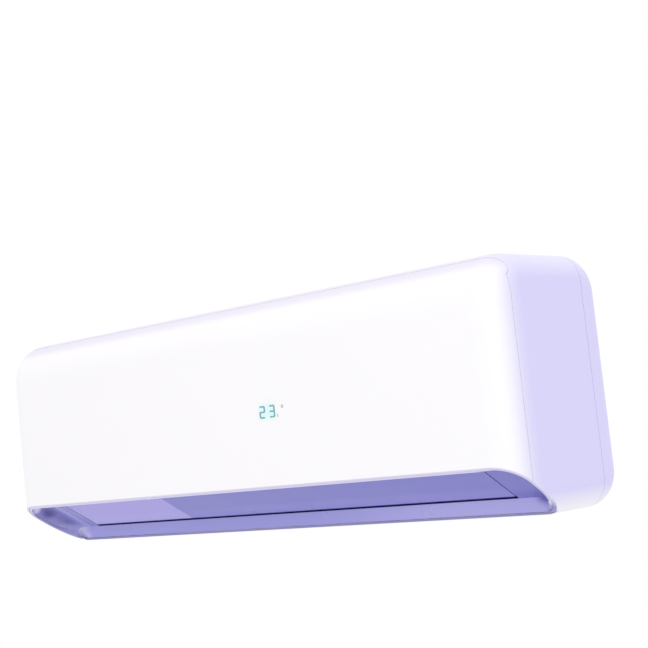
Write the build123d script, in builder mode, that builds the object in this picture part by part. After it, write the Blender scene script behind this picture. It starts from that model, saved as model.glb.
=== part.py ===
"""Indoor unit of a split air conditioner, wall mounted.

Millimetres. +X runs along the unit, +Z is up and the wall is the plane Y = 0, with the front at -Y.
The origin is the middle of the wall plate's bolt pattern, on the wall.
Heights are given above the underside of the unit and turned into Z by up().
"""

import os
from math import cos, hypot, pi, radians, sin, sqrt

from build123d import *

# ---------------------------------------------------------------- driving dimensions
LENGTH = 810  # overall, along the wall
HEIGHT = 268
DEPTH = 200
PLATE_CENTRE_HEIGHT = 150  # of the wall plate's bolt pattern, above the underside

TOP_FRONT_RADIUS = 51  # long edges of the body
TOP_REAR_RADIUS = 41
BOTTOM_RADIUS = 38.5
END_RADIUS = 30  # rounding of both ends, all the way round
SKIN = 2.5  # wall of the panel, the casing and the rear chassis
SEAM = 0.6  # gap between panel, casing and chassis

# the outlet is cut off by a slanting plane, from the front lip to the rear lip
LIP_HEIGHT = 55  # of the front lip
LIP_REACH = 109  # of the rear lip, from the wall
RECESS_DEPTH = 13.3  # of the louver's outer face behind that plane
LOUVER_FRONT = 14  # along the slant, from the front lip
LOUVER_REAR = 89.7
LOUVER_GAP = 3  # behind the louver's rear edge
LOUVER_END = 61  # from the unit's end to the louver's end
LOUVER_SIDE_GAP = 1.5
LOUVER_SKIN = 3  # at the long edges
LOUVER_CROWN = 5.7  # in the middle
LOUVER_EDGE_RADIUS = 1.1
LOUVER_PIVOT_FROM_REAR = 12
LOUVER_PIVOT_DEPTH = 9  # in from the outer face
LOUVER_PIN_RADIUS = 2.5
LOUVER_EAR_RADIUS = 4.2
LOUVER_EAR_THICK = 3
BUSH_RADIUS = 4.5
MIDDLE_EAR_X = 4.5  # the two ears beside the louver's middle support
SUPPORT_THICK = 4
SUPPORT_EYE_RADIUS = 4
STEPPER_RADIUS, STEPPER_LENGTH = 12, 18
STEPPER_OFFSET = 8  # of its body from its shaft
STEPPER_EARS = 34
STEPPER_BOSS_RADIUS, STEPPER_SHAFT_RADIUS = 3.6, 1.4

PANEL_DEEP = 29  # from the front to the panel's seam
CHASSIS_SEAM_Y = -42
PANEL_AXIS_BACK = 24  # hinge of the front panel, behind the front and below the top
PANEL_AXIS_DROP = 15
PANEL_PIN_RADIUS = 1.75
PANEL_PIN_REACH = 7  # beyond its arm
PANEL_LUG_RADIUS = 3
PANEL_LUG_THICK = 4
PANEL_ARM_IN = 39  # from the unit's end
PANEL_ARM_WIDTH = 3
PANEL_ARM_REACH = 14  # ahead of the hinge and above it
PANEL_RIB_THICK = 2
PANEL_RIB_DEEP = 4
PANEL_RIB_IN = 36  # outermost rib, inside the arm
PANEL_RIB_STEPS = 3  # from the middle to the outermost rib
PANEL_RIB_BOTTOM = 82
PANEL_RIB_DROP = 56  # its upper end, below the top

FRAME_INSET = 4.5  # front frame of the casing, inside the panel
FRAME_WALL = 2
FRAME_BACK = 14  # its face, behind the front
FRAME_FOOT = 70  # height
FRAME_DROP = 27  # its upper end, below the top
WINDOW_END = 33  # grid in front of the evaporator, from the unit's left end
WINDOW_OVER = 6  # past the bulkhead at the right
WINDOW_BOTTOM = 104
WINDOW_DROP = 7  # below the frame's upper end
GRID_BAR = 3
GRID_COLUMNS, GRID_ROWS = 9, 4
FLANGE_THICK = 2.2  # rim behind the panel's seam
ROOF_DEEP = 9.5  # of the frame's roof behind the panel's seam

BEZEL_INSET = 3
BEZEL_WALL = 2.6
BEZEL_FLOOR = 2.5
BEZEL_FLAT_IN = 24  # where the flat floor begins to curve up to the rim, from the unit's end
BEZEL_ROUNDING = 20
BEZEL_SEAT = 0.5  # between the bezel's floor and the chassis

INLET_END = 53  # opening in the top, from the unit's end
INLET_BACK = 54  # from the front
INLET_REAR_Y = -52
TRAY_WALL = 2.5
TRAY_LEDGE = 6
GRILLE_DROP = 1.5  # of the filters, below the top
GRILLE_THICK = 5
GRILLE_BORDER = 5
GRILLE_SLATS, GRILLE_SLAT = 7, 2.5  # number and width
GRILLE_RIBS, GRILLE_RIB = 15, 2
FILTER_THICK = 4
FILTER_BORDER = 7
FILTER_CELLS_X, FILTER_CELLS_Y = 5, 2
FILTER_MESH = 0.5
FILTER_MESH_LIFT = 1
FILTER_MESH_IN = 2  # moulded into the frame
FILTER_GRIP_HALF, FILTER_GRIP_DEEP = 14, 12
FILTER_CHAMFER = 0.4
FILTER_GAP = 1  # round each filter

FAN_Y = -93
FAN_HEIGHT = 119
FAN_RADIUS = 46
FAN_ROOM = 10  # from the fan to the scroll below it
FAN_ROOM_REAR = 6
FAN_LEFT_GAP = 11  # from the chamber's walls to the fan's ends
FAN_RIGHT_GAP = 6
FAN_BLADES = 35
FAN_DISCS = 9
FAN_DISC_WIDTH = 2.5
FAN_RIM = 14  # width of the open discs between the two ends
FAN_BLADE_DEPTH = 13
FAN_BLADE_THICK = 1.1
FAN_SHAFT_RADIUS = 4
HUB_RADIUS = 11
HUB_LENGTH = 16
BEARING_RADIUS = 7
BEARING_SEAT_RADIUS = 12
BEARING_HOUSE_RADIUS = 14
MOTOR_RADIUS = 36
MOTOR_LENGTH = 48
MOTOR_GAP = 8  # behind the bulkhead
MOTOR_ROUNDING = 5
MOTOR_BOSS_RADIUS = 9
SHAFT_IN_MOTOR = 18
MOTOR_CUSHION = 3
STRAP_WIDTH = 16
STRAP_THICK = 1.2
STRAP_GRIP = 22  # of its ears along the saddle
SADDLE_FROM_MOTOR = 26  # along the motor
SADDLE_CUT = 5  # saddle's front, inside the motor's rear
BULKHEAD_IN = 40  # right side of the fan chamber, inside the outlet's end
SHEET = 2.5  # walls of the scroll and the bulkheads

SCROLL_RISE = 47  # its upper end above the fan's axis
WEB_SPACING = 200  # webs that carry the scroll on the back wall
CHAMBER_REAR_Y, CHAMBER_PEAK_Y, CHAMBER_FRONT_Y = -58, -106, -146  # corners of the chamber's end walls
CHAMBER_PEAK_DROP = 46
DUCT_FOOT_Y, DUCT_FOOT_HEIGHT = -111, 21  # lower end of the duct's floor, which rises at 45 degrees
DUCT_SIDE_CLEAR = 2  # from the louver's end to the duct's side
TONGUE_Y, TONGUE_HEIGHT = -136, 86  # edge of the duct's roof beside the fan
SHELF_HEIGHT = 78  # upper side of the shelf that closes the duct beside the bulkhead
PAN_BACK = 17.5  # from the front to the drain pan
PAN_RIM_HEIGHT = 100
PAN_WALL = 2
PAN_FLOOR_FRONT, PAN_FLOOR_REAR = 88, 86.5  # heights of the trough's floor
PAN_LIP_HEIGHT = 92  # of its rear lip
PAN_UNDERSIDE = 65
PAN_END_WALL = 2.5
SPOUT_BACK = 18.5  # drain spouts, behind the pan's front
SPOUT_HEIGHT = 93.5
SPOUT_RADIUS, SPOUT_BORE = 5.5, 4
SPOUT_SHORT, SPOUT_LONG = 9, 14  # plugged spout at the left, drain at the right

SLAB_THICK = 24  # evaporator
SLAB_LENGTH = 78  # of the two leaning fin packs
LOWER_SLAB_FOOT = 92.8  # height
LOWER_SLAB_DROP = 99.2  # its upper end, below the top
LOWER_SLAB_BACK, UPPER_SLAB_BACK = 40, 65.5  # from the front
UPPER_SLAB_DROP, REAR_SLAB_DROP = 59, 60  # middles, below the top
REAR_SLAB_Y = -67
UPPER_SLAB_LEAN, REAR_SLAB_LEAN = 35, -35.7
TUBE_RADIUS = 3.5
TUBE_WALL = 0.4
TUBE_PITCH = 19
ROW_PITCH = 12.7
TUBE_CLEAR = 0.05
TUBE_OVERHANG = 5  # straight tube beyond the fins
END_PLATE_THICK = 1
END_PLATE_BORDER, END_PLATE_MARGIN = 1, 5  # beyond the fins, across and along

VANE_PIVOT_FLOW = -20  # of the vane's axis, along the duct from its lower end
VANE_PIN_RADIUS = 1.75
VANE_PIN_TOP = 8
VANE_THICK = 1.6
VANE_COUNT = 6  # in each bank
VANE_END = 46  # first vane, from the duct's end
VANE_LEFT_OF_MIDDLE, VANE_RIGHT_OF_MIDDLE = 40, 26  # innermost vanes
VANE_OUTLINE = (  # flow and rise of its corners
    (-46, 3), (VANE_PIVOT_FLOW + 2.5, 3), (VANE_PIVOT_FLOW + 2.5, 23), (-4, 36), (0, 56), (-21, 58),
    (-28, 36), (-46, 17),
)
LINK_ARM = 20.5  # from the vane's axis to the link bar's pins
LINK_PIN_RADIUS = 1.2
LINK_RISE = 9.5  # middle of the bar above the duct's floor
LINK_NOTCH_HALF = 2.5
LINK_NOTCH_LENGTH = 15
LINK_THICK = 1.8
LINK_WIDTH = 5.6
RAIL_WIDTH = 8
RAIL_THICK = 2.2
RAIL_LIFT = 0.3

BOX_FROM_BULKHEAD = 14  # electrical box
BOX_FROM_END = 15
BOX_BACK = 20  # from the front
BOX_DEEP = 46
BOX_BOTTOM = 104
BOX_DROP = 44  # its top, below the unit's
BOX_WALL = 2
BOX_COVER = 1.5
SCREW_IN = 5  # from the box's corners
SCREW_RADIUS, SCREW_HEAD_RADIUS, SCREW_LENGTH = 1.5, 3, 12
SCREW_BOSS_HALF = 3.5
BOARD_THICK = 1.6
BOARD_STAND = 4
BOARD_SIDE = 10  # from the box's sides to the board
BOARD_PARTS = (  # from the box's lower left corner, then width, height and stand-off of each part on the board
    (14, 84, 22, 20, 18), (42, 86, 14, 18, 15), (14, 58, 14, 20, 14), (32, 62, 9, 10, 6), (44, 54, 12, 26, 4),
    (16, 30, 20, 8, 8), (42, 28, 16, 8, 8),
)
CAPACITORS = (20, 48), (33, 46), (50, 46)  # from the box's lower left corner
CAPACITOR_RADIUS, CAPACITOR_TALL = 5, 20
TERMINAL_PITCH, TERMINALS = 10, 4
TERMINAL_TALL = 18  # its top above the box's bottom
TERMINAL_HOLE_RADIUS, TERMINAL_HOLE_DEEP = 3, 6
SENSOR_RADIUS = 3
ROOM_SENSOR_LONG = 16
BUTTON_IN = 22  # from the box's right side
BUTTON_DROP = 12  # below the box
BUTTON_RADIUS = 3
BUTTON_STAND = 3.5  # ahead of the frame's face
BUTTON_ROUNDING = 0.8
BUTTON_TRAVEL = 1.5
BUTTON_COLLAR_RADIUS, BUTTON_COLLAR_THICK = 4.6, 1.2
SWITCH_HALF, SWITCH_DEEP = 6, 5.7

DISPLAY_X, DISPLAY_HEIGHT = 80, 138  # middle of the numerals
DIGIT_WIDTH, DIGIT_HEIGHT = 9.4, 14
DIGIT_PITCH = 15.2
DIGIT_FLAT, DIGIT_UPRIGHT = 1.7, 2.3  # width of the level strokes and of the upright ones
DOT_SHIFT, DOT_LIFT, DOT_RADIUS = 24, 4, 2.1  # degree dot, from the middle of the numerals
MARK_SHIFT, MARK_LIFT, MARK_WIDTH = 16, -5.4, 1.8  # small upright mark
INLAY_DEPTH = 0.5
INLAY_GAP = 0.05
DISPLAY_BOARD_LEFT, DISPLAY_BOARD_RIGHT, DISPLAY_BOARD_HALF = 30, 36, 12  # from the middle of the numerals
DISPLAY_BOARD_THICK = 1.5

CHANNEL_END = 46  # open back of the pipe channel, from the outlet's left end
CHANNEL_OVER = 29  # past the bulkhead at the right
CHANNEL_BOTTOM, CHANNEL_TOP = 8, 52
CHANNEL_CUT = 30  # how far forward the skin is cut
LIQUID_RADIUS = 3.175
SUCTION_RADIUS = 4.76
LIQUID_DROP, SUCTION_DROP = 15, 27  # where each pipe goes down, past the bulkhead
PIPE_DROP_Y = -24
LIQUID_RUN_Y = -48
PIPE_RUN_HEIGHT = 30
LIQUID_END_X, SUCTION_END_X = -60, -120
PIPE_BEND = 12
PIPE_WALL = 0.8
INSULATION_WALL = 7
INSULATION_SHORT = 40  # of the pipe's end
NUT_LENGTH = 18
NUT_OVER = 4  # past the pipe's end
CLAMP_X, CLAMP_WIDTH = 158, 16

PLATE_LENGTH, PLATE_TALL, PLATE_THICK = 440, 170, 1.5  # wall plate
PLATE_CORNER = 8
PLATE_EYE_RADIUS = 17
PLATE_SLOT_LENGTH, PLATE_SLOT_WIDTH = 26, 6
BOLT_SPACING_X, BOLT_SPACING_Z = 380, 120
BOLT_HOLE_RADIUS = 3
POCKET_CLEAR = 6  # round the plate, in the back of the chassis
POCKET_DEPTH = 5
HOOK_SPACING = 300
HOOK_WIDTH = 24
HOOK_Z = 64.5  # underside of the hooks, above the plate's middle
HOOK_TALL = 9.5
HOOK_SLOT_DROP = 10.5  # room below the hooks to lift the unit off
HOOK_SLOT_SIDE = 2

FIT = 0.1  # radial clearance of pins in their holes
CLEAR = 0.3  # between pieces that lie side by side
SEATED = 0.05  # between fixed pieces that rest on each other
OVERSIZE = 400  # of tools that cut right through
THROUGH = 1  # past a surface, of tools that cut it
INSIDE = 1  # of a wall that is rooted in another

# ---------------------------------------------------------------- places worked out from them
LOUVER_LENGTH = LENGTH - 2 * LOUVER_END
LIP_RUN = hypot(DEPTH - LIP_REACH, LIP_HEIGHT)
LIP_DIRECTION = ((DEPTH - LIP_REACH) / LIP_RUN, -LIP_HEIGHT / LIP_RUN)
PIVOT_ALONG = LOUVER_REAR - LOUVER_PIVOT_FROM_REAR
PIVOT_INWARD = RECESS_DEPTH + LOUVER_PIVOT_DEPTH
OPENING_REAR = LOUVER_REAR + LOUVER_GAP
OPENING_FRONT = LOUVER_FRONT - 1.5
SQUARE = sqrt(0.5)

PANEL_SEAM_Y = PANEL_DEEP - DEPTH
PANEL_AXIS_Y = PANEL_AXIS_BACK - DEPTH
PANEL_AXIS_HEIGHT = HEIGHT - PANEL_AXIS_DROP
PANEL_ARM_X = LENGTH / 2 - PANEL_ARM_IN
FRAME_FACE_Y = FRAME_BACK - DEPTH
FRAME_TOP = HEIGHT - FRAME_DROP
ROOF_REAR_Y = PANEL_SEAM_Y + ROOF_DEEP
BEZEL_FLAT_END = LENGTH / 2 - BEZEL_FLAT_IN
INLET_LENGTH = LENGTH - 2 * INLET_END
INLET_FRONT_Y = INLET_BACK - DEPTH
FILTER_TOP = HEIGHT - GRILLE_DROP
FILTER_BOTTOM = FILTER_TOP - FILTER_THICK
GRILLE_TOP = FILTER_BOTTOM - CLEAR
LEDGE_TOP = GRILLE_TOP - GRILLE_THICK

OUTLET_HALF = LOUVER_LENGTH / 2 + DUCT_SIDE_CLEAR  # inner half width of the air outlet
DUCT_WALL_X = OUTLET_HALF + SHEET
BULKHEAD_X = OUTLET_HALF - BULKHEAD_IN
WINDOW_LEFT, WINDOW_RIGHT = WINDOW_END - LENGTH / 2, BULKHEAD_X + WINDOW_OVER
WINDOW_TOP = FRAME_TOP - WINDOW_DROP
FAN_LEFT, FAN_RIGHT = FAN_LEFT_GAP - OUTLET_HALF, BULKHEAD_X - FAN_RIGHT_GAP
MOTOR_LEFT = BULKHEAD_X + MOTOR_GAP
MOTOR_RIGHT = MOTOR_LEFT + MOTOR_LENGTH
SADDLE_X = MOTOR_LEFT + SADDLE_FROM_MOTOR
SADDLE_FRONT_Y = FAN_Y + MOTOR_RADIUS - SADDLE_CUT
SADDLE_HALF = MOTOR_RADIUS + 1
SCROLL_REAR_Y = FAN_Y + FAN_RADIUS + FAN_ROOM_REAR  # inner face behind the fan
SCROLL_RADIUS = FAN_RADIUS + FAN_ROOM
SCROLL_TOP = FAN_HEIGHT + SCROLL_RISE
PAN_FRONT_Y = PAN_BACK - DEPTH
SPOUT_Y = PAN_FRONT_Y + SPOUT_BACK
CHANNEL_LEFT, CHANNEL_RIGHT = CHANNEL_END - OUTLET_HALF, BULKHEAD_X + CHANNEL_OVER
LEFT_BANK_X, RIGHT_BANK_X = VANE_END - OUTLET_HALF, VANE_RIGHT_OF_MIDDLE  # first vane of each bank
VANE_PITCH = (-VANE_LEFT_OF_MIDDLE - LEFT_BANK_X) / (VANE_COUNT - 1)

BOX_LEFT, BOX_RIGHT = BULKHEAD_X + BOX_FROM_BULKHEAD, LENGTH / 2 - BOX_FROM_END
BOX_FRONT_Y = BOX_BACK - DEPTH
BOX_REAR_Y = BOX_FRONT_Y + BOX_DEEP
BOX_TOP = HEIGHT - BOX_DROP
BUTTON_X, BUTTON_HEIGHT = BOX_RIGHT - BUTTON_IN, BOX_BOTTOM - BUTTON_DROP

SLAB_LEFT, SLAB_RIGHT = FAN_LEFT, FAN_RIGHT
LOWER_SLAB_LENGTH = HEIGHT - LOWER_SLAB_DROP - LOWER_SLAB_FOOT
LOWER_SLAB_HEIGHT = LOWER_SLAB_FOOT + LOWER_SLAB_LENGTH / 2
SLABS = {  # middle of each fin pack in Y and height, its length and its lean from upright
    "evaporator_fins_lower": (LOWER_SLAB_BACK - DEPTH, LOWER_SLAB_HEIGHT, LOWER_SLAB_LENGTH, 0),
    "evaporator_fins_upper": (UPPER_SLAB_BACK - DEPTH, HEIGHT - UPPER_SLAB_DROP, SLAB_LENGTH, UPPER_SLAB_LEAN),
    "evaporator_fins_rear": (REAR_SLAB_Y, HEIGHT - REAR_SLAB_DROP, SLAB_LENGTH, REAR_SLAB_LEAN),
}


def up(height):
    """Z of a height above the unit's underside."""
    return height - PLATE_CENTRE_HEIGHT


def lip_point(along, inward):
    """Y and Z of a point on the slanted outlet: along it from the front lip, and in from it."""
    run, fall = LIP_DIRECTION
    return (-DEPTH + along * run - inward * fall, up(LIP_HEIGHT) + along * fall + inward * run)


def duct_point(flow, rise):
    """Y and Z of a point in the duct: along the air flow from the floor's lower end, and up from the floor."""
    y = DUCT_FOOT_Y - (flow + rise) * SQUARE
    return (y, up(DUCT_FOOT_HEIGHT) + (rise - flow) * SQUARE)


def duct_roof():
    """Both ends of the duct's roof in section, which is the underside of the drain pan."""
    return (TONGUE_Y + 0.5, up(TONGUE_HEIGHT)), (PAN_FRONT_Y + 1, up(PAN_UNDERSIDE - 1.4))


PIVOT_Y, PIVOT_Z = lip_point(PIVOT_ALONG, PIVOT_INWARD)
STRIP_TOP = lip_point(OPENING_REAR, RECESS_DEPTH)
STRIP_FOOT = (-LIP_REACH, up(0))


# ---------------------------------------------------------------- shared shapes
def body_block(inset):
    """The whole body with its surface taken in by inset: a bar with rounded long edges and rounded ends."""
    corners = (
        (-DEPTH, HEIGHT, TOP_FRONT_RADIUS),
        (0, HEIGHT, TOP_REAR_RADIUS),
        (0, 0, BOTTOM_RADIUS),
        (-DEPTH, 0, BOTTOM_RADIUS),
    )
    with BuildPart() as block:
        with BuildSketch(Plane.YZ) as section:
            with Locations((-DEPTH / 2, up(HEIGHT / 2))):
                Rectangle(DEPTH - 2 * inset, HEIGHT - 2 * inset)
            for y, height, radius in corners:
                corner = section.vertices().sort_by_distance((y, up(height)))[0]
                fillet(corner, radius - inset)
        extrude(amount=LENGTH / 2 - inset, both=True)
        fillet(block.faces().filter_by(Axis.X).edges(), END_RADIUS - inset)
    return block.part


def prism(points, left=-OVERSIZE - LENGTH / 2, right=OVERSIZE + LENGTH / 2):
    """A straight bar along X over an outline of Y and Z points."""
    with BuildPart() as bar:
        with BuildSketch(Plane.YZ.offset(left)):
            with BuildLine():
                Polyline(*points, close=True)
            make_face()
        extrude(amount=right - left)
    return bar.part


def rod(y, z, radius, left, right):
    """A round bar along X."""
    with BuildPart() as bar:
        with BuildSketch(Plane.YZ.offset(left)):
            with Locations((y, z)):
                Circle(radius)
        extrude(amount=right - left)
    return bar.part


def block_between(x0, x1, y0, y1, z0, z1):
    """A box between two corners."""
    with BuildPart() as box:
        with Locations(((x0 + x1) / 2, (y0 + y1) / 2, (z0 + z1) / 2)):
            Box(x1 - x0, y1 - y0, z1 - z0)
    return box.part


def below_lip(inward):
    """Everything outside the slanted outlet plane, or a plane further in."""
    return prism(
        (
            lip_point(-OVERSIZE, inward),
            lip_point(LIP_RUN + OVERSIZE, inward),
            lip_point(LIP_RUN + OVERSIZE, inward - OVERSIZE),
            lip_point(-OVERSIZE, inward - OVERSIZE),
        )
    )


def panel_zone(grow):
    """The space that belongs to the front panel: ahead of the seam, and a round ear about its hinge."""
    rise = sqrt(TOP_FRONT_RADIUS**2 - (PANEL_DEEP - TOP_FRONT_RADIUS) ** 2)
    seam_z = up(HEIGHT - TOP_FRONT_RADIUS) + rise
    ear = hypot(PANEL_SEAM_Y - PANEL_AXIS_Y, seam_z - up(PANEL_AXIS_HEIGHT))
    with BuildPart() as zone:
        add(prism(((-OVERSIZE, -OVERSIZE), (PANEL_SEAM_Y + grow, -OVERSIZE), (PANEL_SEAM_Y + grow, OVERSIZE),
                   (-OVERSIZE, OVERSIZE))))
        add(rod(PANEL_AXIS_Y, up(PANEL_AXIS_HEIGHT), ear + grow, -LENGTH, LENGTH))
    return zone.part


def mirrored(x):
    """Both signs of an X."""
    return (-x, x)


def save(piece, name):
    """Name a finished piece and write it out."""
    piece.label = name
    export_step(piece, f"parts/{name}.step")


# ---------------------------------------------------------------- front panel and display
def segment_sketch(numeral, middle_x, gap):
    """Add one seven-segment numeral to the sketch, each stroke grown by gap. Its strokes run from centre line to
    centre line, so they join and the outer corners stay cut."""
    half_w = (DIGIT_WIDTH - DIGIT_UPRIGHT) / 2
    half_h = (DIGIT_HEIGHT - DIGIT_FLAT) / 2
    flat = (2 * half_w, DIGIT_FLAT)
    upright = (DIGIT_UPRIGHT, half_h)
    places = {
        "top": ((0, half_h), flat),
        "middle": ((0, 0), flat),
        "bottom": ((0, -half_h), flat),
        "upper_left": ((-half_w, half_h / 2), upright),
        "upper_right": ((half_w, half_h / 2), upright),
        "lower_left": ((-half_w, -half_h / 2), upright),
        "lower_right": ((half_w, -half_h / 2), upright),
    }
    for stroke in numeral:
        (x, z), (width, height) = places[stroke]
        with Locations((middle_x + x, up(DISPLAY_HEIGHT) + z)):
            Rectangle(width + 2 * gap, height + 2 * gap)


def display_shapes(gap):
    """The two numerals, the degree dot and the small mark, standing in from the panel's face."""
    two = ("top", "upper_right", "middle", "lower_left", "bottom")
    three = ("top", "upper_right", "middle", "lower_right", "bottom")
    with BuildPart() as shapes:
        with BuildSketch(Plane.XZ.offset(DEPTH)):
            segment_sketch(two, DISPLAY_X - DIGIT_PITCH / 2, gap)
            segment_sketch(three, DISPLAY_X + DIGIT_PITCH / 2, gap)
            with Locations((DISPLAY_X + DOT_SHIFT, up(DISPLAY_HEIGHT + DOT_LIFT))):
                Circle(DOT_RADIUS + gap)
            with Locations((DISPLAY_X + MARK_SHIFT, up(DISPLAY_HEIGHT + MARK_LIFT))):
                Rectangle(MARK_WIDTH + 2 * gap, 2 * MARK_WIDTH + 2 * gap)
        extrude(amount=-INLAY_DEPTH)
    return shapes.part


def display_board_ends():
    """Both ends of the board behind the numerals, in X."""
    return DISPLAY_X - DISPLAY_BOARD_LEFT, DISPLAY_X + DISPLAY_BOARD_RIGHT


def rib_places():
    """X of the upright stiffening ribs behind the panel's face. They leave the display board free."""
    step = (PANEL_ARM_X - PANEL_RIB_IN) / PANEL_RIB_STEPS
    left, right = display_board_ends()
    places = [step * index for index in range(-PANEL_RIB_STEPS, PANEL_RIB_STEPS + 1)]
    return [x for x in places if not left - PANEL_RIB_DEEP < x < right + PANEL_RIB_DEEP]


def make_front_panel():
    axis_z = up(PANEL_AXIS_HEIGHT)
    with BuildPart() as arms:
        for side in mirrored(PANEL_ARM_X + PANEL_ARM_WIDTH / 2):
            left, right = side - PANEL_ARM_WIDTH / 2, side + PANEL_ARM_WIDTH / 2
            ahead, above = PANEL_AXIS_Y - PANEL_ARM_REACH, axis_z + PANEL_ARM_REACH
            add(prism(((ahead, axis_z - 1), (PANEL_AXIS_Y, axis_z - PANEL_LUG_RADIUS),
                       (PANEL_AXIS_Y + PANEL_LUG_RADIUS, axis_z), (PANEL_AXIS_Y + 2, above), (ahead, above)),
                      left, right))
            add(rod(PANEL_AXIS_Y, axis_z, PANEL_LUG_RADIUS, left, right))
        add(body_block(SKIN / 2), mode=Mode.INTERSECT)
    with BuildPart() as front_panel:
        add(body_block(0))
        add(body_block(SKIN), mode=Mode.SUBTRACT)
        add(panel_zone(-SEAM / 2), mode=Mode.INTERSECT)
        add(below_lip(0), mode=Mode.SUBTRACT)
        add(display_shapes(INLAY_GAP), mode=Mode.SUBTRACT)
        add(arms.part)
        for sign in (-1, 1):
            near, far = sorted((sign * PANEL_ARM_X, sign * (PANEL_ARM_X + PANEL_ARM_WIDTH + PANEL_PIN_REACH)))
            add(rod(PANEL_AXIS_Y, axis_z, PANEL_PIN_RADIUS, near, far))
        for x in rib_places():
            add(block_between(x - PANEL_RIB_THICK / 2, x + PANEL_RIB_THICK / 2, -DEPTH + SKIN / 2,
                              -DEPTH + SKIN + PANEL_RIB_DEEP, up(PANEL_RIB_BOTTOM), up(HEIGHT - PANEL_RIB_DROP)))
    save(front_panel.part, "front_panel")
    with BuildPart() as display_digits:
        add(display_shapes(0))
    save(display_digits.part, "display_digits")


def make_display_board():
    rear = -DEPTH + SKIN
    left, right = display_board_ends()
    front = rear + DISPLAY_BOARD_THICK
    foot = 2
    plug_width, plug_tall, plug_deep = 10, 6, 4
    with BuildPart() as display_board:
        add(block_between(left, right, front, front + DISPLAY_BOARD_THICK, up(DISPLAY_HEIGHT - DISPLAY_BOARD_HALF),
                          up(DISPLAY_HEIGHT + DISPLAY_BOARD_HALF)))
        for x in (left + foot + 1, right - foot - 1):
            add(block_between(x - foot, x + foot, rear + SEATED, front, up(DISPLAY_HEIGHT - foot),
                              up(DISPLAY_HEIGHT + foot)))
        plug_foot = DISPLAY_HEIGHT - DISPLAY_BOARD_HALF + foot
        add(block_between(DISPLAY_X - plug_tall, DISPLAY_X - plug_tall + plug_width, front + DISPLAY_BOARD_THICK,
                          front + DISPLAY_BOARD_THICK + plug_deep, up(plug_foot), up(plug_foot + plug_tall)))
    save(display_board.part, "display_board")


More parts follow.
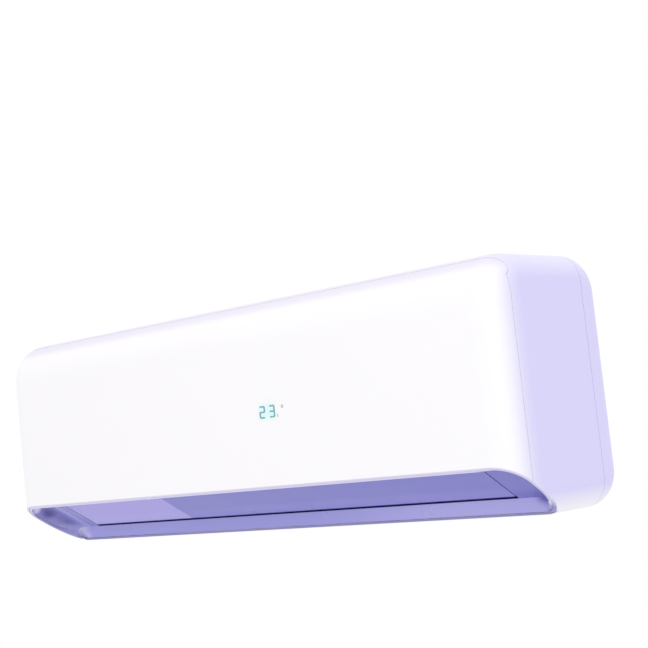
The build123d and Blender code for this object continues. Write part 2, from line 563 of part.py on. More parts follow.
# ---------------------------------------------------------------- casing
def make_casing():
    axis_z = up(PANEL_AXIS_HEIGHT)
    ring_bottom, ring_top = up(FRAME_FOOT), up(FRAME_TOP)
    flange_rear = PANEL_SEAM_Y + 3
    with BuildPart() as frame:
        add(body_block(FRAME_INSET))
        add(body_block(FRAME_INSET + FRAME_WALL), mode=Mode.SUBTRACT)
        add(block_between(-LENGTH, LENGTH, FRAME_FACE_Y, flange_rear, ring_bottom, ring_top), mode=Mode.INTERSECT)
    with BuildPart() as face:
        add(body_block(FRAME_INSET))
        add(block_between(-LENGTH, LENGTH, FRAME_FACE_Y, FRAME_FACE_Y + FRAME_WALL, ring_bottom, ring_top),
            mode=Mode.INTERSECT)
        pitch_x = (WINDOW_RIGHT - WINDOW_LEFT + GRID_BAR) / GRID_COLUMNS
        pitch_z = (WINDOW_TOP - WINDOW_BOTTOM + GRID_BAR) / GRID_ROWS
        middle = ((WINDOW_LEFT + WINDOW_RIGHT) / 2, up((WINDOW_BOTTOM + WINDOW_TOP) / 2))
        with BuildSketch(Plane.XZ.offset(-FRAME_FACE_Y + THROUGH)):
            with Locations(middle):
                with GridLocations(pitch_x, pitch_z, GRID_COLUMNS, GRID_ROWS):
                    Rectangle(pitch_x - GRID_BAR, pitch_z - GRID_BAR)
            with Locations((BUTTON_X, up(BUTTON_HEIGHT))):
                Circle(BUTTON_RADIUS + CLEAR)
        extrude(amount=-FRAME_WALL - 2 * THROUGH, mode=Mode.SUBTRACT)
    with BuildPart() as roof:
        add(body_block(FRAME_INSET))
        add(block_between(-LENGTH, LENGTH, FRAME_FACE_Y, ROOF_REAR_Y, ring_top - FRAME_WALL, ring_top),
            mode=Mode.INTERSECT)
    with BuildPart() as flange:
        add(body_block(SKIN / 2))
        add(body_block(FRAME_INSET + FRAME_WALL), mode=Mode.SUBTRACT)
        add(block_between(-LENGTH, LENGTH, flange_rear - FLANGE_THICK, flange_rear, ring_bottom, ring_top),
            mode=Mode.INTERSECT)
    with BuildPart() as riser:
        add(body_block(SKIN / 2))
        add(block_between(-LENGTH, LENGTH, ROOF_REAR_Y - SKIN, ROOF_REAR_Y, ring_top - FRAME_WALL, up(HEIGHT)),
            mode=Mode.INTERSECT)
    with BuildPart() as panel_clearance:
        add(panel_zone(SEAM / 2))
        add(body_block(SKIN + 0.5), mode=Mode.SUBTRACT)
    half = INLET_LENGTH / 2
    with BuildPart() as casing:
        add(body_block(0))
        add(body_block(SKIN), mode=Mode.SUBTRACT)
        add(prism(((CHASSIS_SEAM_Y - SEAM / 2, -OVERSIZE), (OVERSIZE, -OVERSIZE), (OVERSIZE, OVERSIZE),
                   (CHASSIS_SEAM_Y - SEAM / 2, OVERSIZE))), mode=Mode.SUBTRACT)
        add(panel_zone(SEAM / 2), mode=Mode.SUBTRACT)
        add(below_lip(0), mode=Mode.SUBTRACT)
        # the underside stops flush with the rear strip of the outlet
        add(block_between(-LENGTH, LENGTH, -DEPTH, STRIP_FOOT[0] - SEAM, up(-THROUGH), up(SKIN + FIT)),
            mode=Mode.SUBTRACT)
        add(block_between(-half - TRAY_WALL, half + TRAY_WALL, INLET_FRONT_Y - TRAY_WALL, INLET_REAR_Y + TRAY_WALL,
                          up(LEDGE_TOP - TRAY_WALL), up(HEIGHT)))
        add(frame.part)
        add(face.part)
        add(roof.part)
        add(flange.part)
        add(riser.part)
        add(panel_clearance.part, mode=Mode.SUBTRACT)
        add(block_between(-half, half, INLET_FRONT_Y, INLET_REAR_Y, up(LEDGE_TOP), up(HEIGHT + THROUGH)),
            mode=Mode.SUBTRACT)
        add(block_between(-half + TRAY_LEDGE, half - TRAY_LEDGE, INLET_FRONT_Y + TRAY_LEDGE,
                          INLET_REAR_Y - TRAY_LEDGE, up(LEDGE_TOP - TRAY_WALL - THROUGH), up(LEDGE_TOP + THROUGH)),
            mode=Mode.SUBTRACT)
        for sign in (-1, 1):  # lugs that hold the panel's pins
            inner = PANEL_ARM_X + PANEL_ARM_WIDTH + 1.5
            near, far = sorted((sign * inner, sign * (inner + PANEL_LUG_THICK)))
            add(prism(((PANEL_AXIS_Y - PANEL_LUG_RADIUS, axis_z), (PANEL_AXIS_Y - 5, ring_top - INSIDE),
                       (PANEL_AXIS_Y + 8, ring_top - INSIDE), (PANEL_AXIS_Y + PANEL_LUG_RADIUS, axis_z)),
                      near, far))
            add(rod(PANEL_AXIS_Y, axis_z, PANEL_LUG_RADIUS, near, far))
            add(rod(PANEL_AXIS_Y, axis_z, PANEL_PIN_RADIUS + FIT, near - THROUGH, far + THROUGH),
                mode=Mode.SUBTRACT)
    save(casing.part, "casing")


def make_inlet_grille():
    half = INLET_LENGTH / 2 - CLEAR
    front, rear = INLET_FRONT_Y + CLEAR, INLET_REAR_Y - CLEAR
    bottom, top = up(LEDGE_TOP), up(GRILLE_TOP)
    with BuildPart() as inlet_grille:
        add(block_between(-half, half, front, rear, bottom, top))
        pitch_x = (2 * half - 2 * GRILLE_BORDER + GRILLE_RIB) / GRILLE_RIBS
        pitch_y = (rear - front - 2 * GRILLE_BORDER + GRILLE_SLAT) / GRILLE_SLATS
        with BuildSketch(Plane.XY.offset(top + THROUGH)):
            with Locations((0, (front + rear) / 2)):
                with GridLocations(pitch_x, pitch_y, GRILLE_RIBS, GRILLE_SLATS):
                    Rectangle(pitch_x - GRILLE_RIB, pitch_y - GRILLE_SLAT)
        extrude(amount=-GRILLE_THICK - 2 * THROUGH, mode=Mode.SUBTRACT)
    save(inlet_grille.part, "inlet_grille")


def make_filters():
    front, rear = INLET_FRONT_Y + FILTER_GAP, INLET_REAR_Y - FILTER_GAP
    bottom, top = up(FILTER_BOTTOM), up(FILTER_TOP)
    long = INLET_LENGTH / 2 - 1.5 * FILTER_GAP
    for name, left in (("filter_left", -INLET_LENGTH / 2 + FILTER_GAP), ("filter_right", FILTER_GAP / 2)):
        right = left + long
        middle_x, middle_y = (left + right) / 2, (front + rear) / 2
        mesh_bottom = bottom + FILTER_MESH_LIFT
        with BuildPart() as air_filter:
            add(block_between(left, right, front, rear, bottom, top))
            pitch_x = (long - 2 * FILTER_BORDER + GRID_BAR) / FILTER_CELLS_X
            pitch_y = (rear - front - 2 * FILTER_BORDER + GRID_BAR) / FILTER_CELLS_Y
            with BuildSketch(Plane.XY.offset(bottom - THROUGH)):
                with Locations((middle_x, middle_y)):
                    with GridLocations(pitch_x, pitch_y, FILTER_CELLS_X, FILTER_CELLS_Y):
                        Rectangle(pitch_x - GRID_BAR, pitch_y - GRID_BAR)
            extrude(amount=FILTER_THICK + 2 * THROUGH, mode=Mode.SUBTRACT)
            # the mesh is moulded into the frame
            add(block_between(left + FILTER_MESH_IN, right - FILTER_MESH_IN, front + FILTER_MESH_IN,
                              rear - FILTER_MESH_IN, mesh_bottom, mesh_bottom + FILTER_MESH))
            add(block_between(middle_x - FILTER_GRIP_HALF, middle_x + FILTER_GRIP_HALF, front,
                              front + FILTER_GRIP_DEEP, bottom, top))
            top_face = air_filter.faces().sort_by(Axis.Z)[-1]
            chamfer(top_face.outer_wire().edges().filter_by(Axis.Z, reverse=True), FILTER_CHAMFER)
        save(air_filter.part, name)


# ---------------------------------------------------------------- rear chassis
def scroll_centre():
    """Y and height of the middle of the scroll's bend, which runs on into the duct's 45 degree floor."""
    centre_y = SCROLL_REAR_Y - SCROLL_RADIUS
    floor_level = DUCT_FOOT_HEIGHT - DUCT_FOOT_Y  # height of that floor where Y is zero
    return centre_y, SCROLL_RADIUS * sqrt(2) + floor_level + centre_y


def scroll_face_y(height):
    """Y of the scroll's inner face at a height of its bend."""
    centre_y, centre_h = scroll_centre()
    return centre_y + sqrt(SCROLL_RADIUS**2 - (centre_h - height) ** 2)


def scroll_path(offset, top):
    """Points of the scroll's face moved out by offset: top, start of bend, mid bend, end of bend, foot."""
    centre_y, centre_h = scroll_centre()
    radius = SCROLL_RADIUS + offset
    points = [(SCROLL_REAR_Y + offset, up(top)), (centre_y + radius, up(centre_h))]
    for angle in (-22.5, -45):
        points.append((centre_y + radius * cos(radians(angle)), up(centre_h) + radius * sin(radians(angle))))
    points.append((DUCT_FOOT_Y + offset * SQUARE, up(DUCT_FOOT_HEIGHT) - offset * SQUARE))
    return points


def scroll_wall(left, right):
    """The scroll as a wall of even thickness."""
    inner = scroll_path(0, SCROLL_TOP)
    outer = scroll_path(SHEET, SCROLL_TOP)
    with BuildPart() as wall:
        with BuildSketch(Plane.YZ.offset(left)):
            with BuildLine():
                Line(inner[0], inner[1])
                ThreePointArc(inner[1], inner[2], inner[3])
                Line(inner[3], inner[4])
                Line(inner[4], outer[4])
                Line(outer[4], outer[3])
                ThreePointArc(outer[3], outer[2], outer[1])
                Line(outer[1], outer[0])
                Line(outer[0], inner[0])
            make_face()
        extrude(amount=right - left)
    return wall.part


def duct_mouth():
    """Y and Z of the duct walls' two lower corners, seated on the bezel's floor."""
    inward = RECESS_DEPTH + BEZEL_FLOOR + BEZEL_SEAT
    return lip_point(LOUVER_FRONT, inward), lip_point(OPENING_REAR - 0.5, inward)


def chamber_outline(with_duct):
    """Outline of the wall at the end of the fan chamber, with or without the end of the duct below it."""
    scroll = scroll_path(INSIDE, SCROLL_TOP)
    upper = [(CHAMBER_REAR_Y, up(SCROLL_TOP + 6)), (CHAMBER_PEAK_Y, up(HEIGHT - CHAMBER_PEAK_DROP)),
             (CHAMBER_FRONT_Y, up(SCROLL_TOP - 1))]
    pan_end_y = PAN_FRONT_Y + 1.5
    if with_duct:
        lower = [(CHAMBER_FRONT_Y, up(TONGUE_HEIGHT)), (pan_end_y, up(TONGUE_HEIGHT)),
                 (pan_end_y, up(PAN_UNDERSIDE - 1)), *duct_mouth(), scroll[4]]
    else:
        lower = [(CHAMBER_FRONT_Y, up(TONGUE_HEIGHT + 9)), (TONGUE_Y + 1.5, up(TONGUE_HEIGHT + 9)),
                 (TONGUE_Y + 1.5, up(SHELF_HEIGHT - 1))]
    bend = [scroll[3], scroll[2], scroll[1], scroll[0]]
    return upper + lower + bend


def make_base_chassis():
    fan_z = up(FAN_HEIGHT)
    half_plate = PLATE_LENGTH / 2 + POCKET_CLEAR
    plate_bottom = -PLATE_TALL / 2 - POCKET_CLEAR
    plate_top = PLATE_TALL / 2 + POCKET_CLEAR
    duct_wall = DUCT_WALL_X
    scroll = scroll_path(0, SCROLL_TOP)
    scroll_inside = scroll_path(INSIDE, SCROLL_TOP)
    with BuildPart() as skin:
        add(body_block(0))
        add(body_block(SKIN), mode=Mode.SUBTRACT)
        add(block_between(-LENGTH, LENGTH, CHASSIS_SEAM_Y + SEAM / 2, 1, -OVERSIZE, OVERSIZE), mode=Mode.INTERSECT)
        add(block_between(CHANNEL_LEFT, CHANNEL_RIGHT, -CHANNEL_CUT, THROUGH, up(CHANNEL_BOTTOM), up(CHANNEL_TOP)),
            mode=Mode.SUBTRACT)
    with BuildPart() as base_chassis:
        add(skin.part)
        add(block_between(-half_plate - SHEET, half_plate + SHEET, -POCKET_DEPTH - SHEET, 0,
                          plate_bottom - SHEET, plate_top + SHEET))
        shelf = SCROLL_TOP - 7  # carries the scroll's upper end on the back wall
        add(block_between(-duct_wall, BULKHEAD_X + SHEET, SCROLL_REAR_Y + INSIDE, -INSIDE, up(shelf - 1),
                          up(shelf + 1)))
        for x in (-WEB_SPACING, 0, WEB_SPACING):
            add(block_between(x - 1, x + 1, SCROLL_REAR_Y + INSIDE, -POCKET_DEPTH - INSIDE, up(FAN_HEIGHT - 24),
                              up(shelf)))
        add(block_between(-half_plate, half_plate, -POCKET_DEPTH, THROUGH, plate_bottom, plate_top),
            mode=Mode.SUBTRACT)
        half_slot = HOOK_WIDTH / 2 + HOOK_SLOT_SIDE
        for x in mirrored(HOOK_SPACING / 2):  # slots that hang on the wall plate's hooks
            add(block_between(x - half_slot, x + half_slot, -POCKET_DEPTH - SHEET - THROUGH, 0,
                              HOOK_Z - HOOK_SLOT_DROP, HOOK_Z + PLATE_THICK + CLEAR), mode=Mode.SUBTRACT)
        add(scroll_wall(-duct_wall, BULKHEAD_X + SHEET))
        bend_end, foot = scroll[3], scroll[4]
        drop = SHEET * SQUARE
        add(prism((bend_end, foot, (foot[0] + drop, foot[1] - drop), (bend_end[0] + drop, bend_end[1] - drop)),
                  BULKHEAD_X, duct_wall))
        add(prism(chamber_outline(True), -duct_wall, -OUTLET_HALF))
        add(prism(chamber_outline(False), BULKHEAD_X, BULKHEAD_X + SHEET))
        mouth_front, mouth_rear = duct_mouth()
        shelf_y = scroll_face_y(SHELF_HEIGHT) - 0.7
        add(prism((mouth_front, (PAN_FRONT_Y + 1.5, up(PAN_UNDERSIDE - 1)), (PAN_FRONT_Y + 1.5, up(SHELF_HEIGHT)),
                   (shelf_y, up(SHELF_HEIGHT)), scroll_inside[3], scroll_inside[4], mouth_rear),
                  OUTLET_HALF, duct_wall))
        add(block_between(BULKHEAD_X, duct_wall, CHAMBER_FRONT_Y - 4, shelf_y - 1, up(SHELF_HEIGHT - 2),
                          up(SHELF_HEIGHT)))
        add(rod(FAN_Y, fan_z, BEARING_HOUSE_RADIUS, -duct_wall, FAN_LEFT - 1.5))
        add(rod(FAN_Y, fan_z, BEARING_SEAT_RADIUS, -OUTLET_HALF, FAN_LEFT), mode=Mode.SUBTRACT)
        add(rod(FAN_Y, fan_z, BEARING_RADIUS - 1, -duct_wall - THROUGH, FAN_LEFT), mode=Mode.SUBTRACT)
        add(rod(FAN_Y, fan_z, BEARING_RADIUS, BULKHEAD_X - THROUGH, BULKHEAD_X + SHEET + THROUGH),
            mode=Mode.SUBTRACT)
        for near, far in ((-duct_wall, -OUTLET_HALF), (OUTLET_HALF, duct_wall)):
            add(rod(PIVOT_Y, PIVOT_Z, BUSH_RADIUS + FIT, near - THROUGH, far + THROUGH), mode=Mode.SUBTRACT)
        add(block_between(SADDLE_X, SADDLE_X + STRAP_WIDTH, SADDLE_FRONT_Y, -INSIDE, fan_z - SADDLE_HALF,
                          fan_z + SADDLE_HALF))
        add(rod(FAN_Y, fan_z, MOTOR_RADIUS + MOTOR_CUSHION + SEATED, SADDLE_X - THROUGH,
                SADDLE_X + STRAP_WIDTH + THROUGH), mode=Mode.SUBTRACT)
    save(base_chassis.part, "base_chassis")


# ---------------------------------------------------------------- outlet bezel and louver
def recess_outline(extra):
    """Y and Z outline of the recess below the casing: its floor moved in by extra and its rear strip moved back."""
    strip_y = STRIP_FOOT[0] - STRIP_TOP[0]
    strip_z = STRIP_FOOT[1] - STRIP_TOP[1]
    long = hypot(strip_y, strip_z)
    back = (-strip_z / long * extra, strip_y / long * extra)
    top = lip_point(OPENING_REAR + extra, RECESS_DEPTH + extra)
    foot = (STRIP_FOOT[0] + back[0], STRIP_FOOT[1] + back[1])
    below = (foot[0] + strip_y * 3, foot[1] + strip_z * 3)
    return (lip_point(-LIP_RUN, RECESS_DEPTH + extra), top, foot, below, lip_point(-LIP_RUN, -DEPTH))


def make_outlet_bezel():
    start = lip_point(-LIP_RUN, 0)
    run, fall = LIP_DIRECTION
    flat = BEZEL_FLAT_END
    rim = flat + sqrt(BEZEL_ROUNDING**2 - (BEZEL_ROUNDING - RECESS_DEPTH) ** 2)
    with BuildPart() as trough:  # flat floor that curves up to the rim at each end
        with BuildSketch(Plane(origin=(0, *start), x_dir=(1, 0, 0), z_dir=(0, run, fall))):
            with BuildLine():
                Line((-flat, -RECESS_DEPTH), (flat, -RECESS_DEPTH))
                for sign in (-1, 1):
                    ThreePointArc((sign * flat, -RECESS_DEPTH),
                                  (sign * (flat + BEZEL_ROUNDING * sin(pi / 8)),
                                   -RECESS_DEPTH + BEZEL_ROUNDING * (1 - cos(pi / 8))),
                                  (sign * rim, 0))
                    Line((sign * rim, 0), (sign * rim, OVERSIZE))
                Line((-rim, OVERSIZE), (rim, OVERSIZE))
            make_face()
        extrude(amount=3 * LIP_RUN)
    with BuildPart() as hollow:
        add(body_block(BEZEL_INSET + BEZEL_WALL))
        # no wall below the rear strip, which runs down to the bezel's lower edge
        add(block_between(-LENGTH / 2, LENGTH / 2, -DEPTH, 0, up(-THROUGH), up(BEZEL_INSET + BEZEL_WALL + INSIDE)))
        add(prism(recess_outline(0)), mode=Mode.INTERSECT)
        add(trough.part, mode=Mode.INTERSECT)
    half = LOUVER_LENGTH / 2 + LOUVER_SIDE_GAP
    outside, inside = RECESS_DEPTH - 5, RECESS_DEPTH + 9  # of the cut for the louver's opening
    with BuildPart() as outlet_bezel:
        add(body_block(BEZEL_INSET))
        add(prism(recess_outline(BEZEL_FLOOR)), mode=Mode.INTERSECT)
        add(below_lip(0), mode=Mode.SUBTRACT)
        add(hollow.part, mode=Mode.SUBTRACT)
        add(prism((lip_point(OPENING_FRONT, outside), lip_point(OPENING_FRONT, inside),
                   lip_point(OPENING_REAR, inside), lip_point(OPENING_REAR, RECESS_DEPTH - 0.01),
                   lip_point(OPENING_REAR - 1, outside)), -half, half), mode=Mode.SUBTRACT)
    save(outlet_bezel.part, "outlet_bezel")


def make_louver():
    half = LOUVER_LENGTH / 2
    inner_edge = RECESS_DEPTH + LOUVER_SKIN
    middle = (LOUVER_FRONT + LOUVER_REAR) / 2
    with BuildPart() as louver:
        with BuildSketch(Plane.YZ.offset(-half)) as section:
            with BuildLine():
                Line(lip_point(LOUVER_FRONT, RECESS_DEPTH), lip_point(LOUVER_REAR, RECESS_DEPTH))
                Line(lip_point(LOUVER_REAR, RECESS_DEPTH), lip_point(LOUVER_REAR, inner_edge))
                ThreePointArc(lip_point(LOUVER_REAR, inner_edge), lip_point(middle, RECESS_DEPTH + LOUVER_CROWN),
                              lip_point(LOUVER_FRONT, inner_edge))
                Line(lip_point(LOUVER_FRONT, inner_edge), lip_point(LOUVER_FRONT, RECESS_DEPTH))
            make_face()
            fillet(section.vertices(), LOUVER_EDGE_RADIUS)
        extrude(amount=LOUVER_LENGTH)
        root, ear_foot, ear_head = RECESS_DEPTH + 2, (-12, 7), (-3.5, 3.5)
        reach = LOUVER_EAR_THICK / 2
        for x in (-half + 2, -MIDDLE_EAR_X, MIDDLE_EAR_X, half - 2):  # ears that carry the pins
            add(prism((lip_point(PIVOT_ALONG + ear_foot[0], root), lip_point(PIVOT_ALONG + ear_foot[1], root),
                       lip_point(PIVOT_ALONG + ear_head[1], PIVOT_INWARD + 1.5),
                       lip_point(PIVOT_ALONG + ear_head[0], PIVOT_INWARD + 1.5)), x - reach, x + reach))
            add(rod(PIVOT_Y, PIVOT_Z, LOUVER_EAR_RADIUS, x - reach, x + reach))
        add(rod(PIVOT_Y, PIVOT_Z, LOUVER_PIN_RADIUS, -MIDDLE_EAR_X + 0.5, MIDDLE_EAR_X - 0.5))
        pin_end = half + DUCT_SIDE_CLEAR + SHEET - FIT
        for left, right in ((-pin_end, -half + 2), (half - 2, pin_end)):
            add(rod(PIVOT_Y, PIVOT_Z, LOUVER_PIN_RADIUS, left, right))
        # the stepper's shaft drives this end
        add(rod(PIVOT_Y, PIVOT_Z, STEPPER_SHAFT_RADIUS + FIT, half + 0.4, pin_end + THROUGH), mode=Mode.SUBTRACT)
    save(louver.part, "louver")


def make_louver_fittings():
    wall = DUCT_WALL_X
    with BuildPart() as louver_bushes:
        for near, far in ((-wall, -OUTLET_HALF), (OUTLET_HALF, wall)):
            add(rod(PIVOT_Y, PIVOT_Z, BUSH_RADIUS, near, far))
            add(rod(PIVOT_Y, PIVOT_Z, LOUVER_PIN_RADIUS + FIT, near - THROUGH, far + THROUGH), mode=Mode.SUBTRACT)
    save(louver_bushes.part, "louver_bushes")
    tongue, roof_end = duct_roof()
    half = SUPPORT_THICK / 2
    with BuildPart() as louver_support:
        add(prism((duct_point(-2, 80), duct_point(-6, 30), duct_point(2, 20), (PIVOT_Y, PIVOT_Z),
                   duct_point(-5, 17), duct_point(-16, 80)), -half, half))
        # stops just below the duct's roof
        add(prism(((tongue[0], tongue[1] - SEATED), (roof_end[0], roof_end[1] - SEATED), (roof_end[0], up(HEIGHT)),
                   (tongue[0], up(HEIGHT))), -half - THROUGH, half + THROUGH), mode=Mode.SUBTRACT)
        add(rod(PIVOT_Y, PIVOT_Z, SUPPORT_EYE_RADIUS, -half, half))
        add(rod(PIVOT_Y, PIVOT_Z, LOUVER_PIN_RADIUS + FIT, -half - THROUGH, half + THROUGH), mode=Mode.SUBTRACT)
    save(louver_support.part, "louver_support")
    body_y, body_z = lip_point(PIVOT_ALONG, PIVOT_INWARD + STEPPER_OFFSET)
    body_left = wall + 1.5
    with BuildPart() as louver_motor:
        add(rod(body_y, body_z, STEPPER_RADIUS, body_left, wall + STEPPER_LENGTH))
        add(rod(PIVOT_Y, PIVOT_Z, STEPPER_BOSS_RADIUS, wall + 0.6, wall + 3))
        add(rod(PIVOT_Y, PIVOT_Z, STEPPER_SHAFT_RADIUS, OUTLET_HALF, wall + 3))
        with BuildSketch(Plane.YZ.offset(body_left)):
            with Locations((body_y, body_z)):
                SlotOverall(STEPPER_EARS, 7, rotation=-31)
        extrude(amount=1)
    save(louver_motor.part, "louver_motor")


# ---------------------------------------------------------------- vertical vanes
def vane_plane(x):
    """A plane standing on the duct's floor at x, with its own X along the flow and its own Y down into the floor."""
    y, z = duct_point(0, 0)
    return Plane(origin=(x, y, z), x_dir=(0, -SQUARE, -SQUARE), z_dir=(1, 0, 0))


def duct_rod(x, flow, radius, low, high):
    """A round pin standing square to the duct's floor."""
    y, z = duct_point(flow, low)
    base = Plane(origin=(x, y, z), x_dir=(1, 0, 0), z_dir=(0, -SQUARE, SQUARE))
    with BuildPart() as pin:
        with BuildSketch(base):
            Circle(radius)
        extrude(amount=high - low)
    return pin.part


def make_vane(name, x):
    link_flow = VANE_PIVOT_FLOW - LINK_ARM
    notch = (LINK_RISE - LINK_NOTCH_HALF, LINK_RISE + LINK_NOTCH_HALF)
    with BuildPart() as vane:
        with BuildSketch(vane_plane(x - VANE_THICK / 2)) as side:
            with BuildLine():
                Polyline(*[(flow, -rise) for flow, rise in VANE_OUTLINE], close=True)
            make_face()
            with Locations((link_flow - 2.5, -LINK_RISE)):
                Rectangle(LINK_NOTCH_LENGTH, 2 * LINK_NOTCH_HALF, mode=Mode.SUBTRACT)
        extrude(amount=VANE_THICK)
        add(duct_rod(x, link_flow, LINK_PIN_RADIUS, notch[0] - 0.5, notch[1] + 0.5))
        add(duct_rod(x, VANE_PIVOT_FLOW, VANE_PIN_RADIUS, RAIL_LIFT + CLEAR, VANE_PIN_TOP))
    save(vane.part, name)


def make_vane_bank(side, first_x):
    places = [first_x + VANE_PITCH * index for index in range(VANE_COUNT)]
    for index, x in enumerate(places):
        make_vane(f"vane_{side}_{index + 1}", x)
    link_flow = VANE_PIVOT_FLOW - LINK_ARM
    middle_x = (places[0] + places[-1]) / 2
    long = places[-1] - places[0]
    for name, flow, width, low, thick, hole in (
        (f"link_bar_{side}", link_flow, LINK_WIDTH, LINK_RISE - LINK_THICK / 2, LINK_THICK, LINK_PIN_RADIUS + FIT),
        (f"vane_rail_{side}", VANE_PIVOT_FLOW, RAIL_WIDTH, RAIL_LIFT, RAIL_THICK, VANE_PIN_RADIUS + FIT),
    ):
        y, z = duct_point(flow, low)
        base = Plane(origin=(middle_x, y, z), x_dir=(1, 0, 0), z_dir=(0, -SQUARE, SQUARE))
        with BuildPart() as bar:
            with BuildSketch(base):
                SlotOverall(long + 2 * width, width)
                with GridLocations(VANE_PITCH, 0, VANE_COUNT, 1):
                    Circle(hole, mode=Mode.SUBTRACT)
            extrude(amount=thick)
        save(bar.part, name)


# ---------------------------------------------------------------- fan
def make_fan():
    fan_z = up(FAN_HEIGHT)
    long = FAN_RIGHT - FAN_LEFT
    step = (long - FAN_DISC_WIDTH) / (FAN_DISCS - 1)
    reach = FAN_BLADE_DEPTH / 2 - 0.8
    with BuildSketch() as blade:  # a shallow scoop, its own X pointing outwards
        with BuildLine():
            ThreePointArc((-reach, -2), (0, -0.8), (reach, 3.2))
        trace(line_width=FAN_BLADE_THICK)
    with BuildPart() as cross_flow_fan:
        with BuildSketch(Plane.YZ.offset(FAN_LEFT)):
            with Locations((FAN_Y, fan_z)):
                with PolarLocations(FAN_RADIUS - FAN_BLADE_DEPTH / 2, FAN_BLADES):
                    add(blade.sketch)
        extrude(amount=long)
        for index in range(FAN_DISCS):
            with BuildSketch(Plane.YZ.offset(FAN_LEFT + index * step)):
                with Locations((FAN_Y, fan_z)):
                    Circle(FAN_RADIUS)
                    if 0 < index < FAN_DISCS - 1:
                        Circle(FAN_RADIUS - FAN_RIM, mode=Mode.SUBTRACT)
            extrude(amount=FAN_DISC_WIDTH)
        add(rod(FAN_Y, fan_z, HUB_RADIUS, FAN_RIGHT - HUB_LENGTH, FAN_RIGHT))
        add(rod(FAN_Y, fan_z, FAN_SHAFT_RADIUS, FAN_LEFT - FAN_LEFT_GAP, FAN_LEFT + INSIDE))
        add(rod(FAN_Y, fan_z, FAN_SHAFT_RADIUS + 0.02, FAN_RIGHT - HUB_LENGTH - THROUGH, FAN_RIGHT + THROUGH),
            mode=Mode.SUBTRACT)
    save(cross_flow_fan.part, "cross_flow_fan")
    with BuildPart() as fan_shaft:
        add(rod(FAN_Y, fan_z, FAN_SHAFT_RADIUS, FAN_RIGHT - HUB_LENGTH, MOTOR_LEFT + SHAFT_IN_MOTOR))
    save(fan_shaft.part, "fan_shaft")


def make_fan_supports():
    fan_z = up(FAN_HEIGHT)
    left, right = -OUTLET_HALF, FAN_LEFT - 2
    with BuildPart() as bearing_seat:
        add(rod(FAN_Y, fan_z, BEARING_SEAT_RADIUS - FIT, left, right))
        add(rod(FAN_Y, fan_z, BEARING_RADIUS, left - THROUGH, right + THROUGH), mode=Mode.SUBTRACT)
    save(bearing_seat.part, "bearing_seat")
    with BuildPart() as fan_bearing:
        add(rod(FAN_Y, fan_z, BEARING_RADIUS - SEATED, left, right))
        add(rod(FAN_Y, fan_z, FAN_SHAFT_RADIUS + FIT / 2, left - THROUGH, right + THROUGH), mode=Mode.SUBTRACT)
    save(fan_bearing.part, "fan_bearing")
    with BuildPart() as fan_motor:
        add(rod(FAN_Y, fan_z, MOTOR_RADIUS, MOTOR_LEFT, MOTOR_RIGHT))
        rim = fan_motor.faces().filter_by(Axis.X).edges()
        fillet(rim, MOTOR_ROUNDING)
        add(rod(FAN_Y, fan_z, MOTOR_BOSS_RADIUS, BULKHEAD_X + SHEET + 1.5, MOTOR_RIGHT + 5))
        add(rod(FAN_Y, fan_z, FAN_SHAFT_RADIUS + FIT / 2, BULKHEAD_X, MOTOR_LEFT + SHAFT_IN_MOTOR + 1),
            mode=Mode.SUBTRACT)
    save(fan_motor.part, "fan_motor")
    bore = MOTOR_RADIUS + MOTOR_CUSHION
    left, right = SADDLE_X, SADDLE_X + STRAP_WIDTH
    with BuildPart() as motor_cushion:
        add(rod(FAN_Y, fan_z, bore, left, right))
        add(rod(FAN_Y, fan_z, MOTOR_RADIUS + SEATED, left - THROUGH, right + THROUGH), mode=Mode.SUBTRACT)
    save(motor_cushion.part, "motor_cushion")
    with BuildPart() as motor_strap:
        inner = bore + SEATED
        ear_rear = SADDLE_FRONT_Y - 0.4
        ear_front = ear_rear - STRAP_THICK
        ear_root = sqrt(inner**2 - (ear_rear - FAN_Y) ** 2) + 0.7  # inside the band, above and below the axis
        add(rod(FAN_Y, fan_z, inner + STRAP_THICK, left + 2, right - 2))
        add(block_between(left, right, ear_rear, 0, -OVERSIZE, OVERSIZE), mode=Mode.SUBTRACT)
        for sign in (-1, 1):  # ears folded over the saddle, top and bottom
            edge = fan_z + sign * (SADDLE_HALF + 0.2)
            outer = edge + sign * STRAP_THICK
            z0, z1 = sorted((fan_z + sign * ear_root, outer))
            add(block_between(left + 2, right - 2, ear_front, ear_rear, z0, z1))
            z0, z1 = sorted((edge, outer))
            add(block_between(left + 2, right - 2, ear_front, SADDLE_FRONT_Y + STRAP_GRIP, z0, z1))
        add(rod(FAN_Y, fan_z, inner, left - THROUGH, right + THROUGH), mode=Mode.SUBTRACT)
    save(motor_strap.part, "motor_strap")


# ---------------------------------------------------------------- evaporator
def tube_places(slab):
    """Y and Z of the tubes in a fin pack, as two rows from its lower end up: inner row, then outer row."""
    y, height, long, lean = slab
    count = int(long // TUBE_PITCH)
    run = (sin(radians(lean)), cos(radians(lean)))
    side = (run[1], -run[0])
    rows = []
    for across in (ROW_PITCH / 2, -ROW_PITCH / 2):
        row = []
        for index in range(count):
            along = (index - (count - 1) / 2) * TUBE_PITCH
            row.append((y + along * run[0] + across * side[0], up(height) + along * run[1] + across * side[1]))
        rows.append(row)
    return rows


def make_fin_pack(name, slab):
    y, height, long, lean = slab
    with BuildPart() as fins:
        with BuildSketch(Plane.YZ.offset(SLAB_LEFT)):
            with Locations(Location((y, up(height)), -lean)):
                Rectangle(SLAB_THICK, long)
            for row in tube_places(slab):
                with Locations(*row):
                    Circle(TUBE_RADIUS + TUBE_CLEAR, mode=Mode.SUBTRACT)
        extrude(amount=SLAB_RIGHT - SLAB_LEFT)
    save(fins.part, name)


